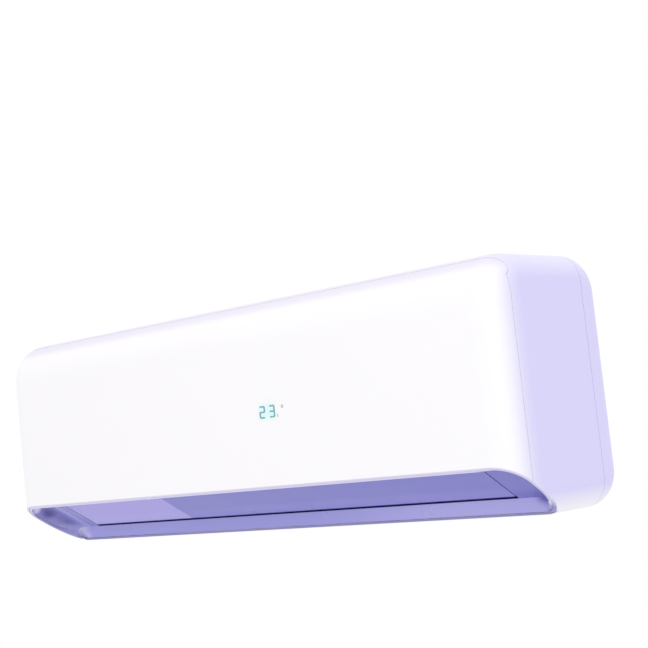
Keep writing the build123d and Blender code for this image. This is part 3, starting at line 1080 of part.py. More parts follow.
def bent_tube(first, second, start_x, turn_x):
    """A tube along X that turns back in a half circle beyond turn_x."""
    radius = hypot(second[0] - first[0], second[1] - first[1]) / 2
    way = 1 if turn_x > start_x else -1
    peak = (turn_x + way * radius, (first[0] + second[0]) / 2, (first[1] + second[1]) / 2)
    with BuildPart() as tube:
        with BuildLine():
            if start_x != turn_x:
                Line((start_x, *first), (turn_x, *first))
            ThreePointArc((turn_x, *first), peak, (turn_x, *second))
            if start_x != turn_x:
                Line((turn_x, *second), (start_x, *second))
        with BuildSketch(Plane(origin=(start_x, *first), x_dir=(0, 1, 0), z_dir=(way, 0, 0))):
            Circle(TUBE_RADIUS)
            Circle(TUBE_RADIUS - TUBE_WALL, mode=Mode.SUBTRACT)
        sweep()
    return tube.part


def make_evaporator():
    tube_end = SLAB_RIGHT + TUBE_OVERHANG
    turn_left = SLAB_LEFT - TUBE_OVERHANG
    hairpins, bends = [], []
    for name, slab in SLABS.items():
        make_fin_pack(name, slab)
        inner, outer = tube_places(slab)
        for row in (inner, outer):
            for index in range(0, len(row) - 1, 2):
                hairpins.append(bent_tube(row[index], row[index + 1], tube_end, turn_left))
            for index in range(1, len(row) - 1, 2):
                bends.append(bent_tube(row[index], row[index + 1], tube_end, tube_end + 0.5))
        bends.append(bent_tube(inner[0], outer[0], tube_end, tube_end + 0.5))
        if name != "evaporator_fins_rear":
            bends.append(bent_tube(inner[-1], outer[-1], tube_end, tube_end + 0.5))
    for name, pieces in (("evaporator_hairpins", hairpins), ("evaporator_return_bends", bends)):
        save(Compound(children=pieces), name)
    with BuildPart() as evaporator_end_plates:
        for left in (SLAB_LEFT - 0.5 - END_PLATE_THICK, SLAB_RIGHT + 0.5):
            for slab in SLABS.values():
                y, height, long, lean = slab
                with BuildSketch(Plane.YZ.offset(left)):
                    with Locations(Location((y, up(height)), -lean)):
                        Rectangle(SLAB_THICK + 2 * END_PLATE_BORDER, long + 2 * END_PLATE_MARGIN)
                    for row in tube_places(slab):
                        with Locations(*row):
                            Circle(TUBE_RADIUS + TUBE_CLEAR, mode=Mode.SUBTRACT)
                extrude(amount=END_PLATE_THICK)
        for slab in SLABS.values():
            for row in tube_places(slab):
                for y, z in row:
                    for near, far in ((SLAB_LEFT - 3, SLAB_LEFT - 0.2), (SLAB_RIGHT + 0.2, SLAB_RIGHT + 3)):
                        add(rod(y, z, TUBE_RADIUS + TUBE_CLEAR, near, far), mode=Mode.SUBTRACT)
    save(evaporator_end_plates.part, "evaporator_end_plates")


def swept_pipe(points, radius):
    """A copper pipe along straight runs joined by bends."""
    first, second = Vector(*points[0]), Vector(*points[1])
    with BuildPart() as pipe:
        with BuildLine():
            FilletPolyline(*points, radius=PIPE_BEND)
        with BuildSketch(Plane(origin=first, z_dir=second - first)):
            Circle(radius)
            Circle(radius - PIPE_WALL, mode=Mode.SUBTRACT)
        sweep()
    return pipe.part


def make_pipes():
    inner, outer = tube_places(SLABS["evaporator_fins_rear"])
    start = SLAB_RIGHT + TUBE_OVERHANG
    run_z = up(PIPE_RUN_HEIGHT)
    lines = (
        ("liquid_pipe", outer[-1], BULKHEAD_X + LIQUID_DROP, LIQUID_RADIUS, LIQUID_RUN_Y, LIQUID_END_X),
        ("suction_pipe", inner[-1], BULKHEAD_X + SUCTION_DROP, SUCTION_RADIUS, PIPE_DROP_Y, SUCTION_END_X),
    )
    insulation = []
    nuts = []
    for name, (y, z), drop_x, radius, run_y, end_x in lines:
        points = [(start, y, z), (drop_x, y, z), (drop_x, PIPE_DROP_Y, z - 26)]
        if run_y != PIPE_DROP_Y:  # steps forward on its way down
            points.append((drop_x, PIPE_DROP_Y, run_z + 34))
        points += [(drop_x, run_y, run_z), (end_x, run_y, run_z)]
        save(swept_pipe(points, radius), name)
        sleeve = radius + INSULATION_WALL
        with BuildPart() as cover:
            add(rod(run_y, run_z, sleeve, end_x + INSULATION_SHORT, SLAB_RIGHT))
            add(rod(run_y, run_z, radius + SEATED, end_x, SLAB_RIGHT + THROUGH), mode=Mode.SUBTRACT)
        insulation.append(cover.part)
        with BuildPart() as nut:
            with BuildSketch(Plane.YZ.offset(end_x - NUT_OVER)):
                with Locations((run_y, run_z)):
                    RegularPolygon(radius * 2.1 + 2, 6)
                    Circle(radius + SEATED, mode=Mode.SUBTRACT)
            extrude(amount=NUT_LENGTH)
        nuts.append(nut.part)
    save(Compound(children=insulation), "pipe_insulation")
    save(Compound(children=nuts), "flare_nuts")
    left, right = CLAMP_X - CLAMP_WIDTH / 2, CLAMP_X + CLAMP_WIDTH / 2
    with BuildPart() as pipe_clamp:
        add(block_between(left, right, LIQUID_RUN_Y - 16, PIPE_DROP_Y + 15.5, run_z - 1, run_z + 14.5))
        for run_y, radius in ((LIQUID_RUN_Y, LIQUID_RADIUS), (PIPE_DROP_Y, SUCTION_RADIUS)):
            add(rod(run_y, run_z, radius + INSULATION_WALL + FIT, left - THROUGH, right + THROUGH),
                mode=Mode.SUBTRACT)
    save(pipe_clamp.part, "pipe_clamp")


# ---------------------------------------------------------------- drain pan
def make_drain_pan():
    tongue, roof_front = duct_roof()
    rim, lip = up(PAN_RIM_HEIGHT), up(PAN_LIP_HEIGHT)
    lip_front, lip_rear = TONGUE_Y - 4, TONGUE_Y - 1.5
    outline = ((PAN_FRONT_Y, rim), (PAN_FRONT_Y + PAN_WALL, rim), (PAN_FRONT_Y + PAN_WALL, up(PAN_FLOOR_FRONT)),
               (lip_front, up(PAN_FLOOR_REAR)), (lip_front, lip), (lip_rear, lip),
               tongue, roof_front, (PAN_FRONT_Y, up(PAN_UNDERSIDE)))
    left, right = -OUTLET_HALF + CLEAR, OUTLET_HALF - CLEAR
    spout_z = up(SPOUT_HEIGHT)
    with BuildPart() as drain_pan:
        add(prism(outline, left, right))
        for x in (left, right - PAN_END_WALL):  # ends of the trough
            add(prism(((PAN_FRONT_Y, rim), (lip_rear, lip), (lip_rear, up(TONGUE_HEIGHT)),
                       (PAN_FRONT_Y, up(TONGUE_HEIGHT))), x, x + PAN_END_WALL))
        for start, end in ((left - SPOUT_SHORT, left + INSIDE), (right - INSIDE, right + SPOUT_LONG)):
            add(rod(SPOUT_Y, spout_z, SPOUT_RADIUS, start, end))
            add(rod(SPOUT_Y, spout_z, SPOUT_BORE, start - 4, end + 4), mode=Mode.SUBTRACT)
    save(drain_pan.part, "drain_pan")
    with BuildPart() as drain_plug:
        add(rod(SPOUT_Y, spout_z, SPOUT_BORE - SEATED, left - SPOUT_SHORT - 3, left - 2))
        add(rod(SPOUT_Y, spout_z, SPOUT_RADIUS + 1, left - SPOUT_SHORT - 4, left - SPOUT_SHORT - SEATED))
    save(drain_plug.part, "drain_plug")


# ---------------------------------------------------------------- electrics
def make_electrics():
    wall = BOX_WALL
    screw_places = [(x, up(height)) for x in (BOX_LEFT + SCREW_IN, BOX_RIGHT - SCREW_IN)
                    for height in (BOX_BOTTOM + SCREW_IN, BOX_TOP - SCREW_IN)]
    with BuildPart() as electrical_box:
        add(block_between(BOX_LEFT, BOX_RIGHT, BOX_FRONT_Y, BOX_REAR_Y, up(BOX_BOTTOM), up(BOX_TOP)))
        add(block_between(BOX_LEFT + wall, BOX_RIGHT - wall, BOX_FRONT_Y - 1, BOX_REAR_Y - wall,
                          up(BOX_BOTTOM + wall), up(BOX_TOP - wall)), mode=Mode.SUBTRACT)
        for x, z in screw_places:
            add(block_between(x - SCREW_BOSS_HALF, x + SCREW_BOSS_HALF, BOX_FRONT_Y, BOX_REAR_Y - INSIDE,
                              z - SCREW_BOSS_HALF, z + SCREW_BOSS_HALF))
            with BuildSketch(Plane.XZ.offset(-BOX_FRONT_Y)):
                with Locations((x, z)):
                    Circle(SCREW_RADIUS + SEATED)
            extrude(amount=-SCREW_LENGTH, mode=Mode.SUBTRACT)
    save(electrical_box.part, "electrical_box")
    cover_front = BOX_FRONT_Y - BOX_COVER
    with BuildPart() as electrical_cover:
        add(block_between(BOX_LEFT, BOX_RIGHT, cover_front, BOX_FRONT_Y, up(BOX_BOTTOM), up(BOX_TOP)))
        with BuildSketch(Plane.XZ.offset(-cover_front)):
            with Locations(*screw_places):
                Circle(SCREW_RADIUS + FIT)
        extrude(amount=-2 * BOX_COVER, mode=Mode.SUBTRACT)
    save(electrical_cover.part, "electrical_cover")
    with BuildPart() as cover_screws:
        with BuildSketch(Plane.XZ.offset(-cover_front)):
            with Locations(*screw_places):
                Circle(SCREW_HEAD_RADIUS)
        extrude(amount=1.6)
        with BuildSketch(Plane.XZ.offset(-cover_front)):
            with Locations(*screw_places):
                Circle(SCREW_RADIUS)
        extrude(amount=-SCREW_LENGTH)
    save(cover_screws.part, "cover_screws")
    make_control_board(BOX_REAR_Y - wall)
    front = BOX_FRONT_Y + 14
    left, right = BOX_LEFT + BOARD_SIDE + 2, BOX_RIGHT - BOARD_SIDE - 2
    with BuildPart() as terminal_block:
        add(block_between(left, right, front, BOX_REAR_Y - wall - SEATED, up(BOX_BOTTOM + wall + SEATED),
                          up(BOX_BOTTOM + TERMINAL_TALL)))
        with BuildSketch(Plane.XZ.offset(-front)):
            with Locations(((left + right) / 2, up(BOX_BOTTOM + TERMINAL_TALL - 6))):
                with GridLocations(TERMINAL_PITCH, 0, TERMINALS, 1):
                    Circle(TERMINAL_HOLE_RADIUS)
        extrude(amount=-TERMINAL_HOLE_DEEP, mode=Mode.SUBTRACT)
    save(terminal_block.part, "terminal_block")


def make_control_board(box_floor):
    """The board stands on four feet on the floor of the box and carries its parts towards the front."""
    board_rear = box_floor - BOARD_STAND
    board_front = board_rear - BOARD_THICK
    bottom, top = BOX_BOTTOM + TERMINAL_TALL + 4, BOX_TOP - BOARD_SIDE - 2
    foot = 2
    with BuildPart() as control_board:
        add(block_between(BOX_LEFT + BOARD_SIDE, BOX_RIGHT - BOARD_SIDE, board_front, board_rear, up(bottom),
                          up(top)))
        for x in (BOX_LEFT + BOARD_SIDE + 6, BOX_RIGHT - BOARD_SIDE - 6):
            for height in (bottom + 6, top - 6):
                add(block_between(x - foot, x + foot, board_rear, box_floor - SEATED, up(height - foot),
                                  up(height + foot)))
    save(control_board.part, "control_board")
    face = board_front - SEATED
    with BuildPart() as board_components:
        for across, above, width, height, stand in BOARD_PARTS:
            left, low = BOX_LEFT + across, up(BOX_BOTTOM + above)
            add(block_between(left, left + width, face - stand, face, low, low + height))
        with BuildSketch(Plane.XZ.offset(-face)):
            with Locations(*[(BOX_LEFT + across, up(BOX_BOTTOM + above)) for across, above in CAPACITORS]):
                Circle(CAPACITOR_RADIUS)
        extrude(amount=CAPACITOR_TALL)
    save(board_components.part, "board_components")


def make_button():
    front = FRAME_FACE_Y - BUTTON_STAND
    collar_rear = FRAME_FACE_Y + FRAME_WALL + BUTTON_TRAVEL
    stem_rear = collar_rear + 2
    collar = (collar_rear - BUTTON_COLLAR_THICK, collar_rear, BUTTON_COLLAR_RADIUS)
    with BuildPart() as emergency_button:
        for start, end, radius in ((front, stem_rear, BUTTON_RADIUS), collar):
            with BuildSketch(Plane.XZ.offset(-start)):
                with Locations((BUTTON_X, up(BUTTON_HEIGHT))):
                    Circle(radius)
            extrude(amount=start - end)
        fillet(emergency_button.faces().sort_by(Axis.Y)[0].edges(), BUTTON_ROUNDING)
    save(emergency_button.part, "emergency_button")
    switch_front = stem_rear + BUTTON_TRAVEL + CLEAR
    with BuildPart() as button_switch:
        add(block_between(BUTTON_X - SWITCH_HALF, BUTTON_X + SWITCH_HALF, switch_front, switch_front + SWITCH_DEEP,
                          up(BUTTON_HEIGHT - 8), up(BOX_BOTTOM - SEATED)))
    save(button_switch.part, "button_switch")


def make_sensors():
    inner, outer = tube_places(SLABS["evaporator_fins_lower"])
    with BuildPart() as temperature_sensors:
        y, z = outer[1]
        add(rod(y - TUBE_RADIUS - SENSOR_RADIUS - FIT, z, SENSOR_RADIUS, SLAB_RIGHT + 2, SLAB_RIGHT + 5))
        rear = FRAME_FACE_Y + FRAME_WALL
        add(block_between(BOX_LEFT + 10, BOX_LEFT + 10 + ROOM_SENSOR_LONG, rear + SEATED, rear + 5, up(BOX_TOP + 6),
                          up(BOX_TOP + 11)))
    save(temperature_sensors.part, "temperature_sensors")


# ---------------------------------------------------------------- wall plate
def make_wall_plate():
    with BuildPart() as wall_plate:
        with BuildSketch(Plane.XZ):
            RectangleRounded(PLATE_LENGTH, PLATE_TALL, PLATE_CORNER)
            with GridLocations(BOLT_SPACING_X, BOLT_SPACING_Z, 2, 2):
                Circle(BOLT_HOLE_RADIUS, mode=Mode.SUBTRACT)
            with GridLocations(BOLT_SPACING_X / 2, BOLT_SPACING_Z / 2, 2, 2):
                SlotOverall(PLATE_SLOT_LENGTH, PLATE_SLOT_WIDTH, mode=Mode.SUBTRACT)
            Circle(PLATE_EYE_RADIUS, mode=Mode.SUBTRACT)
        extrude(amount=PLATE_THICK)
        reach = POCKET_DEPTH + SHEET + 3
        for x in mirrored(HOOK_SPACING / 2):
            left, right = x - HOOK_WIDTH / 2, x + HOOK_WIDTH / 2
            add(block_between(left, right, -reach, -PLATE_THICK / 2, HOOK_Z, HOOK_Z + PLATE_THICK))
            add(block_between(left, right, -reach, -reach + PLATE_THICK, HOOK_Z, HOOK_Z + HOOK_TALL))
    save(wall_plate.part, "wall_plate")


def main():
    os.makedirs("parts", exist_ok=True)
    make_front_panel()
    make_display_board()
    make_casing()
    make_inlet_grille()
    make_filters()
    make_base_chassis()
    make_outlet_bezel()
    make_louver()
    make_louver_fittings()
    make_vane_bank("left", LEFT_BANK_X)
    make_vane_bank("right", RIGHT_BANK_X)
    make_fan()
    make_fan_supports()
    make_evaporator()
    make_pipes()
    make_drain_pan()
    make_electrics()
    make_button()
    make_sensors()
    make_wall_plate()


main()
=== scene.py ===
"""Looks of a wall-mounted indoor unit of a split air conditioner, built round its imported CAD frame.

Metres. +X runs along the unit, +Z is up, the wall is the plane y = 0 and the front faces -Y.
Each operator dresses or builds one group of pieces, and main() runs them in order.
"""

import math

import bpy
import numpy as np
from bpy.props import FloatProperty, FloatVectorProperty, PointerProperty
from bpy.types import Operator, Panel, PropertyGroup
from mathutils import Matrix, Vector


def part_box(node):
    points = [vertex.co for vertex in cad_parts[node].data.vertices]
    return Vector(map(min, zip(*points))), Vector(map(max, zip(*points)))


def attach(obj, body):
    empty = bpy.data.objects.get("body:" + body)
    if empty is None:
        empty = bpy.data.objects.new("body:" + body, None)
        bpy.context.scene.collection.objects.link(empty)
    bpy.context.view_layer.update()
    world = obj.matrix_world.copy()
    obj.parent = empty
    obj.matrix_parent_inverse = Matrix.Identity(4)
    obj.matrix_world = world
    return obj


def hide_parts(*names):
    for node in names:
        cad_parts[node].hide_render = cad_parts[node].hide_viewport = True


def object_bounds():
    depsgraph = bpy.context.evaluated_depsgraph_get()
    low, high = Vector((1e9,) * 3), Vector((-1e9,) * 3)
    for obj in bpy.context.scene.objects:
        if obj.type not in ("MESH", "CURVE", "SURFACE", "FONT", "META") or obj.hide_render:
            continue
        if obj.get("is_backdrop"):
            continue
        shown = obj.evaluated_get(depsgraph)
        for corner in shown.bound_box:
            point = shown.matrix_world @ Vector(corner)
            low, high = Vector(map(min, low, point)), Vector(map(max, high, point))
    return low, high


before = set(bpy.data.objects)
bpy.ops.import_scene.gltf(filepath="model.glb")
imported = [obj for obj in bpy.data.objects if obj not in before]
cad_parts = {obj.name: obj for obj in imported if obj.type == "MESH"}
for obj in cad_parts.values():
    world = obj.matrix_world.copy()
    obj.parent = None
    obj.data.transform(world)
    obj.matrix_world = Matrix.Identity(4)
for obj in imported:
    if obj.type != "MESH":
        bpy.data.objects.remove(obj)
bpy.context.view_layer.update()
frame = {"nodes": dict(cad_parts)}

bl_info = {
    "name": "Split indoor unit looks",
    "version": (1, 0, 0),
    "blender": (4, 5, 0),
    "location": "3D View > Sidebar > Indoor unit",
    "description": "Finishes, fins, filters and studio for a wall-mounted indoor unit",
    "category": "Object",
}

VANES = [f"vane_{side}_{number}" for side in ("left", "right") for number in range(1, 7)]
MIDDLE = (0.3, 0.7)  # where most values of a noise lie
WHOLE = (0.0, 1.0)
LIP_POINT = (-0.2, -0.095)  # y and z of the outlet's front lip
LIP_NORMAL = (0.5173, 0.8558)  # y and z of the way in from the slanted plane of the outlet
RECESS_DEPTH = 0.0135  # behind that plane
LOUVER_HALF = 0.344  # of the louver's length
END_RADIUS = 0.030  # rounding of both ends
FADE_WAY = (0.7307, 0.6743)  # shares of |x| and y in the way along which the white turns
FIN_POINTS = 9  # across a fin
NUT_SIDES = 72


# -------------------- sizes and colours a user would change
def colour(name, description, default):
    """A colour setting, written as it looks on screen."""
    return FloatVectorProperty(name=name, description=description, default=default, size=3, min=0.0,
                               max=1.0, subtype="COLOR_GAMMA")


def length(name, description, default):
    """A length setting in metres."""
    return FloatProperty(name=name, description=description, default=default, min=0.0, unit="LENGTH",
                         precision=5)


def factor(name, description, default):
    """A setting from 0 to 1."""
    return FloatProperty(name=name, description=description, default=default, min=0.0, max=1.0,
                         subtype="FACTOR")


def power(name, description, default):
    """A lamp's power in watts."""
    return FloatProperty(name=name, description=description, default=default, min=0.0, unit="POWER")


class ShellSettings(PropertyGroup):
    front: colour("Front", "White of the front panel", (0.985, 0.978, 0.990))
    # The top's pinkish white is painted shade, where the top and its rounded front edge turn away from the
    # light.
    top: colour("Top", "Pinkish white of the top and its rounded front edge", (0.915, 0.892, 0.957))
    # The ends' lavender is partly the plastic's colour and partly painted violet shade, where the shell turns
    # away from the front's light.
    side: colour("Side", "Lavender of both ends", (0.851, 0.835, 0.990))
    # Painted light: both ends are lighter at their upper and lower bevels.
    side_top_light: colour("Upper bevel", "Lavender at the top of both ends", (0.905, 0.895, 0.995))
    side_foot_light: colour("Lower bevel", "Near white at the bottom of both ends", (1.000, 0.985, 1.000))
    # Painted shade on the shell's edges that the outlet's plane cuts: lilac at the front, violet at the rear.
    lip: colour("Lip", "Cut edge of the shell along the outlet's front", (0.880, 0.865, 0.960))
    lip_foot_shade: colour("Lip foot", "Cut edge of the shell along the outlet's rear", (0.590, 0.575, 0.775))
    fade_from: length("Fade from", "Where the white begins to turn, as 0.73 |x| + 0.67 y", 0.160)
    fade_to: length("Fade to", "Where the lavender is full, as 0.73 |x| + 0.67 y", 0.195)
    roughness: factor("Roughness", "Of the moulded shell", 0.32)


class OutletSettings(PropertyGroup):
    bezel: colour("Bezel", "Violet of the recess left of the louver", (0.560, 0.550, 0.815))
    # Painted shade: the recess is darker right of the louver.
    bezel_right_shade: colour("Right bezel", "Violet of the recess right of the louver", (0.455, 0.435, 0.790))
    # Painted highlight line where the left end begins to curve up.
    ridge_highlight: colour("Ridge", "Lighter line where the left end begins to curve up", (0.670, 0.665, 0.920))
    shade: colour("Recess ends", "Deeper violet where the left end curves up", (0.440, 0.425, 0.710))
    # Painted shade in the right end's tip and in the left end's fold.
    right_tip_shade: colour("Tip", "Deepest violet, in the right end's tip", (0.410, 0.395, 0.720))
    left_fold_shade: colour("Left fold", "Deepest violet, where the left end curves up", (0.300, 0.285, 0.600))
    # Painted light: the strip behind the louver is lighter, for it faces the light more, and lighter still
    # towards the right.
    strip: colour("Rear strip", "Violet of the strip behind the louver", (0.630, 0.620, 0.890))
    strip_right_light: colour("Right strip", "The strip's violet towards the right end", (0.705, 0.690, 0.930))
    # Painted light in the left end's rear corner, which lies in shade.
    corner: colour("Left corner", "Violet of the wall in the left end's rear corner", (0.820, 0.810, 0.970))
    # Painted highlights at the strip's left end and in both tips.
    pale: colour("Pale ends", "Pale violet at the strip's left end and in both tips", (0.900, 0.890, 1.000))
    # Painted highlight on the bezel's rim, and painted shade on it at the left end and along the rear.
    rim: colour("Rim", "Pale lilac of the bezel's rim", (0.865, 0.850, 0.965))
    rim_foot_shade: colour("Rim foot", "The rim's violet at the left end and along the rear", (0.580, 0.565, 0.800))
    # Painted shadow on the walls round the louver's opening and on the louver's rear edge, which darkens the
    # gap.
    slot: colour("Slot", "Dark violet of the walls round the louver's opening", (0.070, 0.050, 0.400))
    louver: colour("Louver", "Violet of the louver", (0.460, 0.452, 0.795))
    # Painted light on the louver near its rear edge, where it mirrors less.
    louver_rear_light: colour("Louver's rear", "Its violet near the rear edge", (0.567, 0.546, 0.854))
    pale_louver: colour("Left quarter", "Lighter violet of the louver's left quarter", (0.640, 0.597, 0.906))
    pale_rear: colour("Left quarter's rear", "The same near the rear edge", (0.706, 0.672, 0.940))
    vane: colour("Vanes", "Pale plastic of the vanes behind the louver", (0.760, 0.755, 0.850))
    roughness: factor("Roughness", "Of the louver and the bezel", 0.24)


class DisplaySettings(PropertyGroup):
    stroke: colour("Strokes", "Teal grey of the numerals", (0.470, 0.615, 0.640))
    dot: colour("Dot", "Grey of the degree dot and the small mark", (0.735, 0.750, 0.760))
    halo: colour("Halo", "Pale light that spreads round the numerals", (0.870, 0.980, 0.990))
    halo_reach: length("Halo reach", "How far the light spreads from a numeral", 0.0085)


class CoilSettings(PropertyGroup):
    pitch: length("Fin pitch", "Distance from fin to fin", 0.0018)
    thickness: length("Fin thickness", "Sheet of one fin", 0.00014)
    ripple: length("Ripple", "Height of the waves across a fin", 0.00028)
    aluminium: colour("Aluminium", "Bare fins", (0.830, 0.845, 0.860))
    copper: colour("Copper", "Tubes and pipes", (0.800, 0.470, 0.330))


class FilterSettings(PropertyGroup):
    net_pitch: length("Net pitch", "Distance from strand to strand", 0.0026)
    strand: length("Strand", "Thickness of one strand", 0.00042)
    border: length("Border", "Width of the frame round a filter", 0.007)
    bar: length("Bar", "Width of the frame's inner bars", 0.003)
    frame: colour("Frame", "Plastic of the frame", (0.330, 0.345, 0.390))
    net: colour("Net", "Strands of the net", (0.230, 0.240, 0.275))


class InsideSettings(PropertyGroup):
    pale: colour("Pale plastic", "Drain pan, electrical box and grille", (0.860, 0.860, 0.885))
    dark: colour("Dark plastic", "Fan, terminals and switch", (0.145, 0.145, 0.155))
    zinc: colour("Zinc", "Coated sheet steel", (0.690, 0.705, 0.725))
    steel: colour("Steel", "Motor shell, shaft and screws", (0.640, 0.645, 0.655))
    brass: colour("Brass", "Flare nuts", (0.790, 0.640, 0.360))
    board: colour("Board", "Solder mask of the circuit boards", (0.090, 0.330, 0.190))
    rubber: colour("Rubber", "Plug, seats and cushion", (0.070, 0.070, 0.075))
    foam: colour("Foam", "Sleeves of the pipes", (0.885, 0.885, 0.870))


class StageSettings(PropertyGroup):
    camera_place: FloatVectorProperty(name="Camera", description="Where the camera stands", size=3,
                                      default=(1.2204, -1.3484, -0.0552), subtype="XYZ", unit="LENGTH")
    camera_view: FloatVectorProperty(name="View", description="Direction the camera looks in", size=3,
                                     default=(-0.66928, 0.73839, 0.08271), subtype="XYZ")
    camera_up: FloatVectorProperty(name="Up", description="Upper side of the picture", size=3,
                                   default=(0.13463, 0.01104, 0.99083), subtype="XYZ")
    lens: FloatProperty(name="Lens", description="Focal length on a sensor 36 mm wide", default=80.33,
                        unit="CAMERA")
    floor: colour("Floor", "Plain pale floor", (0.950, 0.950, 0.956))
    floor_height: FloatProperty(name="Floor height", description="Level of the floor", default=-0.75,
                                unit="LENGTH")
    floor_half: length("Floor half width", "From the floor's middle to its edge", 1.5)
    air: factor("Air light", "Strength of the even light from all round", 0.90)
    key: power("Key light", "Power of the large lamp in front", 12.0)
    fill: power("Fill light", "Power of the large lamp above", 6.0)


GROUPS = (
    ("shell", ShellSettings),
    ("outlet", OutletSettings),
    ("display", DisplaySettings),
    ("coil", CoilSettings),
    ("filters", FilterSettings),
    ("inside", InsideSettings),
    ("stage", StageSettings),
)


# -------------------- surfaces worked out with numpy
def ring_quads(rings, sides, wrap_rings=False, wrap_sides=True):
    """Quads of a grid of rings by sides. Each joins a point, the next one round, and the same two on the
    next ring."""
    last_ring = rings if wrap_rings else rings - 1
    last_side = sides if wrap_sides else sides - 1
    ring, side = np.meshgrid(np.arange(last_ring), np.arange(last_side), indexing="ij")
    here, there = ring * sides, (ring + 1) % rings * sides
    after = (side + 1) % sides
    return np.stack([here + side, here + after, there + after, there + side], axis=-1).reshape(-1, 4)


def repeated(faces, count, points_each):
    """The same faces again for each of count like shapes."""
    return (faces[None] + np.arange(count)[:, None, None] * points_each).reshape(-1, faces.shape[1])


def add_object(name, data):
    """A new object in the scene."""
    made = bpy.data.objects.new(name, data)
    bpy.context.scene.collection.objects.link(made)
    return made


def make_piece(name, body, points, face_sets, material, replaces=(), smooth=True):
    """One mesh object from points and arrays of faces, riding on a CAD body."""
    points = np.asarray(points, float).reshape(-1, 3)
    mesh = bpy.data.meshes.new(name)
    sizes = np.concatenate([np.full(len(faces), faces.shape[1]) for faces in face_sets])
    corners = np.concatenate([faces.ravel() for faces in face_sets])
    mesh.vertices.add(len(points))
    mesh.vertices.foreach_set("co", points.astype(np.float32).ravel())
    mesh.loops.add(len(corners))
    mesh.loops.foreach_set("vertex_index", corners.astype(np.int32))
    mesh.polygons.add(len(sizes))
    mesh.polygons.foreach_set("loop_start", (np.cumsum(sizes) - sizes).astype(np.int32))
    mesh.polygons.foreach_set("use_smooth", np.full(len(sizes), smooth))
    mesh.update(calc_edges=True)
    if mesh.validate():
        raise RuntimeError(f"{name} has faces that had to be mended")
    mesh.materials.append(material)
    piece = add_object(name, mesh)
    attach(piece, body)
    if replaces:
        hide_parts(*replaces)
    return piece


def slabs(boxes, radius):
    """Rounded boxes. A ring goes round each box, a rectangle whose corners are quarter circles, and the rings
    climb over the rim on a quarter circle too: inset = radius (1 - sin a), rise = radius (1 - cos a)."""
    boxes = np.asarray(boxes, float)
    low, high = boxes[:, 0], boxes[:, 1]
    steps = 3
    turn = np.linspace(0, math.pi / 2, steps + 1)
    over_rim, up_rim = radius * (1 - np.sin(turn)), radius * (1 - np.cos(turn))
    inset = np.concatenate([[radius * 1.9], over_rim, over_rim[::-1], [radius * 1.9]])
    rise = np.concatenate([[0], up_rim, -up_rim[::-1], [0]])
    upper = np.concatenate([np.zeros(steps + 2), np.ones(steps + 2)])
    angle = np.concatenate([turn + quarter * math.pi / 2 for quarter in range(4)])
    corner = np.array([(1, 1), (0, 1), (0, 0), (1, 0)]).repeat(steps + 1, axis=0)
    size = high - low
    base = low[:, None, :2] + corner[None] * size[:, None, :2] - radius * (corner[None] * 2 - 1)
    spoke = np.stack([np.cos(angle), np.sin(angle)], axis=-1)
    reach = radius - inset
    plan = base[:, None] + reach[None, :, None, None] * spoke[None, None]
    height = low[:, None, 2] + upper[None] * size[:, None, 2] + rise[None]
    height = np.broadcast_to(height[:, :, None, None], plan.shape[:3] + (1,))
    points = np.concatenate([plan, height], axis=-1)
    rings, sides = points.shape[1], points.shape[2]
    walls = repeated(ring_quads(rings, sides), len(boxes), rings * sides)
    lid = np.arange(sides) + (rings - 1) * sides
    lids = repeated(np.stack([np.arange(sides)[::-1], lid]), len(boxes), rings * sides)
    return points.reshape(-1, 3), [walls, lids]


def strands(paths, radius, across, upwards):
    """Square-section threads, closed at both ends: a path's points plus radius times +-across +-upwards."""
    offsets = np.array([across + upwards, upwards - across, -across - upwards, across - upwards]) * radius
    points = paths[:, :, None, :] + offsets[None, None]
    count, rings = paths.shape[:2]
    walls = repeated(ring_quads(rings, 4), count, rings * 4)
    ends = np.array([[3, 2, 1, 0], [0, 1, 2, 3]]) + np.array([[0], [(rings - 1) * 4]])
    return points.reshape(-1, 3), [walls, repeated(ends, count, rings * 4)]


def turned(stations, radii, angles, centre, radius_of_angle):
    """A shape turned about a line along X through centre = (y, z): at station x the radius is radii[x], held
    under radius_of_angle, which makes flats."""
    reach = np.minimum(np.asarray(radii, float)[:, None], radius_of_angle[None])
    ring = np.stack([np.cos(angles), np.sin(angles)], axis=-1)
    plan = reach[..., None] * ring[None] + np.asarray(centre)[None, None]
    along = np.broadcast_to(np.asarray(stations, float)[:, None, None], plan.shape[:2] + (1,))
    return np.concatenate([along, plan], axis=-1)


# -------------------- finishes
def linear(shown):
    """A colour as it looks on screen, turned into the light values that a shader takes."""
    shown = np.asarray(shown, float)
    return tuple(np.where(shown <= 0.04045, shown / 12.92, ((shown + 0.055) / 1.055) ** 2.4)) + (1.0,)


